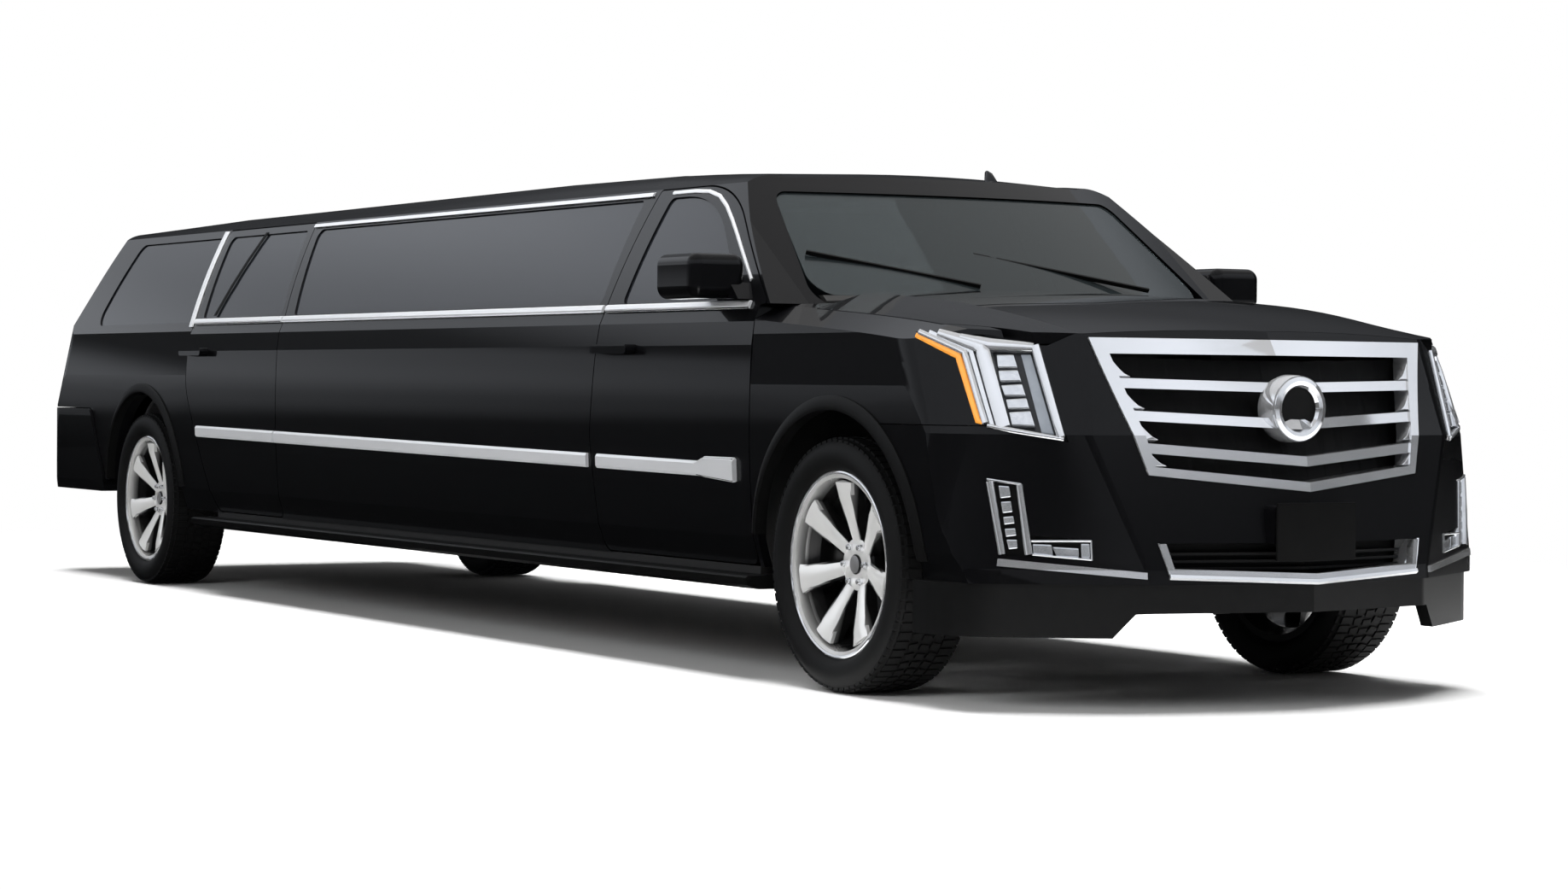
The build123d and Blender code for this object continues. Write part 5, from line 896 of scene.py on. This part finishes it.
# %% Copies round a wheel
def ring_nodes(name):
    """Geometry Nodes group: blocks on rings round the Y axis, with named inputs."""
    g = bpy.data.node_groups.new(name, "GeometryNodeTree")
    for label, kind in (("Geometry", "Geometry"), ("Count", "Int"), ("Radius", "Float"), ("Place", "Float"),
                        ("Turn", "Float"), ("Lean", "Float"), ("Size", "Vector"), ("Sides", "Int"),
                        ("Material", "Material")):
        g.interface.new_socket(label, in_out="INPUT", socket_type="NodeSocket" + kind)
    g.interface.new_socket("Geometry", in_out="OUTPUT", socket_type="NodeSocketGeometry")
    given = node(g, "NodeGroupInput").outputs
    ring = node(g, "GeometryNodeMeshCircle", {"Vertices": given["Count"], "Radius": given["Radius"]})
    step = node(g, "ShaderNodeMath", {0: 2 * math.pi, 1: given["Count"]}, operation="DIVIDE")
    index = node(g, "GeometryNodeInputIndex").outputs[0]
    angle = node(g, "ShaderNodeMath", {0: index, 1: step.outputs[0]}, operation="MULTIPLY")
    turn = node(g, "ShaderNodeCombineXYZ", {"X": given["Lean"], "Z": angle.outputs[0]})
    cube = node(g, "GeometryNodeMeshCube", {"Size": given["Size"]})
    size = node(g, "ShaderNodeSeparateXYZ", {0: given["Size"]}).outputs
    rod = node(g, "GeometryNodeMeshCylinder", {"Vertices": given["Sides"], "Radius": size["X"], "Depth": size["Z"]})
    is_rod = node(g, "FunctionNodeCompare", {2: given["Sides"], 3: 4}, data_type="INT", operation="GREATER_THAN")
    which = node(g, "GeometryNodeSwitch", {"Switch": is_rod.outputs[0], "False": cube.outputs["Mesh"],
                                           "True": rod.outputs["Mesh"]}, input_type="GEOMETRY")
    copies = node(g, "GeometryNodeInstanceOnPoints", {"Points": ring.outputs["Mesh"], "Instance": which.outputs[0],
                                                      "Rotation": turn.outputs[0]})
    real = node(g, "GeometryNodeRealizeInstances", {0: copies.outputs[0]})
    place = node(g, "ShaderNodeCombineXYZ", {"Z": given["Place"]})
    spin = node(g, "ShaderNodeCombineXYZ", {"Z": given["Turn"]})
    stand = node(g, "GeometryNodeTransform", {"Geometry": real.outputs[0], "Translation": place.outputs[0],
                                              "Rotation": spin.outputs[0]})
    dress = node(g, "GeometryNodeSetMaterial", {"Geometry": stand.outputs[0], "Material": given["Material"]})
    node(g, "NodeGroupOutput", {"Geometry": dress.outputs[0]})
    return g


RING_NODES = ring_nodes("copies round a ring")


def ring_of(**values):
    """Run the group once and return its points (axis along Y) and faces."""
    o = linked("seed", bpy.data.meshes.new("seed"))
    m = o.modifiers.new("copies", "NODES")
    m.node_group = RING_NODES
    for item in RING_NODES.interface.items_tree:
        if item.in_out == "INPUT" and item.name in values:
            m[item.identifier] = values[item.name]
    bpy.context.view_layer.update()
    done = bpy.data.meshes.new_from_object(o.evaluated_get(bpy.context.evaluated_depsgraph_get()))
    o.modifiers.remove(m)
    points = [Vector((v.co.x, v.co.z, -v.co.y)) for v in done.vertices]
    faces = [tuple(p.vertices) for p in done.polygons]
    bpy.data.objects.remove(o)
    return points, faces


WHEELS = [(f"{end}_{{}}_{label}", x, side) for end, x in (("front", FRONT_AXLE), ("rear", REAR_AXLE))
          for label, side in SIDES]


def on_wheels(name, shape, material, smooth=30, bevel=0.0, replaces=False):
    """The same piece on all four wheels; its outer side lies towards +Y at the origin."""
    points, faces = shape
    for pattern, x, side in WHEELS:
        moved = [Vector((x + p.x, side * (HALF_TRACK + p.y), AXLE_Z + p.z)) for p in points]
        o = piece(f"{name}_{pattern.format('at')}", moved, faces, material, pattern.format("road_wheel"), smooth,
                  bevel)
        if replaces:
            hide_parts(pattern.format("tyre"))


blocks = []
for count, radius, place, turn, lean, size in (
        (68, 0.4002, 0.000, 0.00, 0.10, (0.0085, 0.0105 * 2.1, 0.032)),
        (62, 0.4002, 0.040, 0.03, -0.25, (0.0085, 0.0125 * 2.1, 0.032)),
        (74, 0.3988, 0.086, 0.02, 0.0, (0.0095, 0.026, 0.046)),
        (74, 0.3885, 0.1225, 0.02, 0.0, (0.014, 0.026, 0.012))):
    for sign in (1, -1) if place else (1,):
        blocks.append(ring_of(Count=count, Radius=radius, Place=sign * place, Turn=turn, Lean=sign * lean, Size=size,
                              Sides=4, Material=rubber))
on_wheels("tyre", carcass, rubber, 50, replaces=True)
on_wheels("tread_blocks", joined(blocks), rubber, 0)
print("tyres: tread blocks", len(blocks), "rings")

# %% [markdown]
# ## Wheel details
# Each wheel has a bevelled face on every spoke, a hub face with six lug nuts round a small cap, a
# polished flange at its rim and a valve.

# %% Wheel details
SPOKES = 7
SPOKE_ROWS = [(0.074, 0.021, 0.050), (0.150, 0.027, 0.074), (0.215, 0.037, 0.094), (0.260, 0.047, 0.1025)]
CROWN = ((-1, 0.0), (-0.62, 0.005), (0, 0.0062), (0.62, 0.005), (1, 0.0))
RIM, UNDER = [0, 1, 2, 3, 4, 9, 14, 19, 18, 17, 16, 15, 10, 5], 20  # a face's outline; its underside comes after
spoke_faces = grid_faces(4, 5, False) + [(i, j, j + UNDER, i + UNDER) for i, j in zip(RIM, RIM[1:] + RIM[:1])] + [
    tuple(i + UNDER for i in reversed(RIM))]
spokes = []
for k in range(SPOKES):
    a = math.pi / 2 + 2 * math.pi * k / SPOKES
    out, across = Vector((math.cos(a), 0, math.sin(a))), Vector((-math.sin(a), 0, math.cos(a)))
    points = [out * r + across * (half * t) + Vector((0, y + lift, 0))
              for r, half, y in SPOKE_ROWS for t, lift in CROWN]
    spokes.append((points + [p - Vector((0, 0.012, 0)) for p in points], spoke_faces))
on_wheels("spoke_faces", joined(spokes), alloy, 25)
nut_parts = [ring_of(Count=6, Radius=0.062, Place=place, Turn=0.0, Lean=0.0, Size=size, Sides=sides, Material=bright)
             for place, size, sides in ((0.048, (0.0115, 0.0115, 0.026), 6), (0.064, (0.0085, 0.0085, 0.008), 12))]
on_wheels("lug_nuts", joined(nut_parts), bright, 30, 0.0012)
cap_grey = finish("grey wheel cap", (0.20, 0.20, 0.205), (0.24, 0.24, 0.245), 9, rough=0.32, metal=0.5)
for name, material, smooth, count, profile in (
        ("hub_face", alloy, 30, 48, [(0.029, 0.0508), (0.066, 0.0508), (0.080, 0.0498), (0.086, 0.0460),
                                     (0.086, 0.0400), (0.029, 0.0400), (0.029, 0.0508)]),
        ("centre_cap", cap_grey, 35, 40, [(0.0, 0.062), (0.022, 0.0615), (0.028, 0.058), (0.0305, 0.050),
                                          (0.0305, 0.030), (0.0, 0.030)]),
        ("rim_flange", bright, 35, 96, [(0.2965, 0.106), (0.2965, 0.1195), (0.2925, 0.1215), (0.2870, 0.1195),
                                        (0.2850, 0.108), (0.2965, 0.106)])):
    on_wheels(name, turned(profile, count), material, smooth)
on_wheels("valve", box_points((-0.004, 0.070, -0.262), (0.004, 0.104, -0.254)), rubber, 30, 0.002)
print("wheel details done")

# %% [markdown]
# ## Seats
# The cushions are padded covers, so they are blown up a little as cloth: a plain block is
# remeshed, pushed outward by pressure for twenty frames with gravity off, and its movement is
# capped. Sewn channels come afterwards. One cushion and one back serve all the places, because the
# real car uses the same modules along the lounge.

# %% Cushions
def blown_block(name, size, voxel, cap, channels):
    """Points and faces of a padded block centred at the origin; channels are lines across x on its top."""
    points, faces = box_points([-v / 2 for v in size], [v / 2 for v in size])
    block = piece(name, points, faces, leather, None, 0, 0.022, 3)
    cells = block.modifiers.new("cells", "REMESH")
    cells.mode, cells.voxel_size = "VOXEL", voxel
    graph = bpy.context.evaluated_depsgraph_get()
    mesh = bpy.data.meshes.new_from_object(block.evaluated_get(graph))
    block.modifiers.clear()
    block.data = mesh
    start = end = [v.co.copy() for v in mesh.vertices]
    cover = block.modifiers.new("cover", "CLOTH")
    cover.settings.use_pressure = True
    cover.settings.uniform_pressure_force = 4.0
    cover.settings.effector_weights.gravity = 0.0
    cover.point_cache.frame_start, cover.point_cache.frame_end = 1, 20
    for n in range(1, 21):
        bpy.context.scene.frame_set(n)
    puffed = bpy.data.meshes.new_from_object(block.evaluated_get(bpy.context.evaluated_depsgraph_get()))
    end = [v.co.copy() for v in puffed.vertices]
    block.modifiers.clear()
    bpy.context.scene.frame_set(1)
    done = []
    for a, b in zip(start, end):
        move = b - a
        if move.length > cap:
            move *= cap / move.length
        p = a + move
        p.z = max(p.z, -size[2] / 2)
        depth = sum(0.011 * math.exp(-((p.x - x) / 0.013) ** 2) for x in channels)
        if p.z > size[2] * 0.2:
            p.z -= depth
        done.append(p)
    faces = [tuple(p.vertices) for p in mesh.polygons]
    bpy.data.objects.remove(block)
    return done, faces


CUSHION_SIZE, BACK_SIZE, REST_SIZE = (0.50, 0.44, 0.115), (0.48, 0.42, 0.080), (0.135, 0.25, 0.060)
cushion = blown_block("cushion", CUSHION_SIZE, 0.011, 0.022, (-0.12, 0.0, 0.12))
back = blown_block("back", BACK_SIZE, 0.011, 0.022, (-0.13, 0.0, 0.13))
rest = blown_block("rest", REST_SIZE, 0.011, 0.015, ())
print("cushion points", len(cushion[0]), len(back[0]))


def place_pad(name, shape, turn, middle, stretch, replaced, smooth_level=0):
    """A padded piece turned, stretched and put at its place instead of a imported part."""
    points = [turn @ (p * Vector(stretch)) + Vector(middle) for p in shape[0]]
    o = piece(name, points, shape[1], leather, "body", 70)
    if smooth_level:
        finer = o.modifiers.new("finer", "SUBSURF")
        finer.levels = finer.render_levels = smooth_level
    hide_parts(replaced)


FLAT = Matrix.Identity(3)
LEAN = Matrix.Rotation(math.radians(-104), 3, "Y")
SEAT_X = FRONT_AXLE - 1.290
for label, side in SIDES:
    for name, shape, turn, ahead_of, z, wide in (("seat_cushion", cushion, FLAT, 0.040, 0.765, 1.0),
                                                 ("seat_back", back, LEAN, -0.325, 1.135, 1.02),
                                                 ("head_rest", rest, LEAN, -0.400, 1.490, 1.0)):
        place_pad(f"{name}_{label}", shape, turn, (SEAT_X + ahead_of, side * 0.4, z), (wide, wide, 1.0),
                  "front_seats", 1)
SIDEWAYS = Matrix.Rotation(math.pi / 2, 3, "Z")
UPRIGHT = SIDEWAYS @ Matrix.Rotation(math.radians(-90), 3, "Y") @ Matrix.Rotation(math.pi, 3, "Z")
STEEP = Matrix.Rotation(math.radians(-93), 3, "Y")
for k in range(4):
    x = -1.093 + 0.577 * (k + 0.5)
    place_pad(f"bench_cushion_{k}", cushion, SIDEWAYS, (x, 0.540, 0.826), (0.82, 1.22, 1.0), "lounge_seats")
    place_pad(f"bench_back_{k}", back, UPRIGHT, (x, 0.822, 0.985), (0.78, 1.28, 0.95), "lounge_seats")
for k, y in enumerate((-0.31, 0.31)):
    place_pad(f"rear_cushion_{k}", cushion, FLAT, (-2.470, y, 0.826), (1.04, 1.30, 1.0), "lounge_seats")
    place_pad(f"rear_back_{k}", back, STEEP, (-2.832, y, 1.050), (1.08, 1.36, 1.2), "lounge_seats")
print("seats placed")

# %% [markdown]
# ## Cabin, mirrors and glass details
# Small fittings that show through the windscreen and on the doors: mirror glass, wipers, an inner
# mirror, instrument faces and a screen on the dashboard.

# %% Fittings
def plate_between(name, low, high, material, ride, bevel):
    """A thin block between two corners, with bevelled edges."""
    piece(name, *box_points(low, high), material, ride, 30, bevel)


dial = finish("instrument face", (0.01, 0.012, 0.015), (0.02, 0.024, 0.03), 30, rough=0.2, Coat_Weight=1.0)
for name, low, high, material, bevel in (
        ("inner_mirror", (2.300, -0.115, 1.535), (2.322, 0.115, 1.590), satin, 0.009),
        ("inner_mirror_glass", (2.2975, -0.105, 1.542), (2.2995, 0.105, 1.583), bright, 0.0),
        ("inner_mirror_stem", (2.315, -0.010, 1.580), (2.335, 0.010, 1.630), satin, 0.003),
        ("dash_screen", (2.488, -0.110, 0.985), (2.503, 0.110, 1.075), dial, 0.004),
        ("instrument_panel", (2.470, 0.260, 1.075), (2.560, 0.560, 1.135), satin, 0.02),
        ("dash_trim", (2.495, -0.690, 0.930), (2.503, 0.240, 0.950), strip_bright, 0.002)):
    plate_between(name, low, high, material, "body", bevel)
for label, side in SIDES:
    y0, y1 = sorted((side * 0.995, side * 1.165))
    plate_between(f"mirror_glass_{label}", (2.4395, y0, 1.272), (2.4445, y1, 1.388), bright, f"front_door_{label}",
                  0.002)
for k, (foot, tip) in enumerate((((2.905, -0.20, 1.300), (2.660, -0.74, 1.408)),
                                 ((2.905, 0.50, 1.300), (2.735, -0.12, 1.412)))):
    foot, tip = Vector(foot), Vector(tip)
    up = Vector((0.588, 0, 0.809))  # square to the windscreen
    blade = [foot.lerp(tip, t / 8) + up * 0.012 for t in range(9)]
    swept(f"wiper_blade_{k}", blade, [(-0.005, -0.008), (0.005, -0.008), (0.004, 0.006), (-0.004, 0.006)],
          [up] * len(blade), satin, "body")
print("fittings done")

# %% [markdown]
# ## Roof and rear details
# The aerial fin stands on the roof behind the screen header, left of the middle. The rear carries a
# blank plate, a step pad and a bright exhaust tip.

# %% Roof and rear
FIN_X, FIN_Y, ROOF_Z = FRONT_AXLE - 1.380, 0.500, 1.7190
fin = []
for t, half, top in ((0.0, 0.004, 0.004), (0.25, 0.011, 0.022), (0.55, 0.014, 0.045), (0.85, 0.011, 0.056),
                     (1.0, 0.003, 0.050)):
    fin.append([Vector((FIN_X + 0.045 - 0.090 * t, FIN_Y + half * across, ROOF_Z + top * up))
                for across, up in ((-1, 0), (-0.4, 1), (0.4, 1), (1, 0))])
lofted("aerial_fin", fin, paint, "body", 50)
plate_between("rear_plate_blank", (TAIL - 0.0140, -0.150, 0.855), (TAIL - 0.0065, 0.150, 1.005), plate_black,
              "tailgate", 0.002)
plate_between("rear_step_pad", (TAIL + 0.020, -0.560, 0.8245), (TAIL + 0.120, 0.560, 0.8300), satin, "body", 0.002)
PIPE_X, PIPE_Y, PIPE_Z = TAIL + 0.075, -0.600, 0.380
tip = [(0.034, 0.05), (0.034, -0.09), (0.038, -0.092), (0.041, -0.088), (0.041, 0.05), (0.034, 0.05)]
points, faces = turned(tip, 40)
piece("exhaust_tip", [Vector((PIPE_X + p.y, PIPE_Y + p.x, PIPE_Z + p.z)) for p in points], faces, bright, "body", 40)
print("rear details done")

# %% [markdown]
# ## Fine lines
# Bright overlays lie on the strips under the fog lamps, and the rear door's glass has its dark
# divider bar, as a fixed pane needs beside one that slides down.

# %% Fine lines
corner_strip("fog_strip_face", [(194, 451), (-246, 415)], [15, 15], strip_bright, 0.003, 0.012)
for label, side in SIDES:
    rows = [[wall_point(x + dx, z, out, side) for dx, out in
             ((-0.016, 0.0005), (-0.012, 0.004), (0.012, 0.004), (0.016, 0.0005))]
            for z, x in ((1.262, -2.205), (1.400, -2.150), (1.520, -2.102), (1.640, -2.055))]
    lofted(f"glass_divider_{label}", rows, deep_black, f"rear_door_{label}")
print("fine lines done")
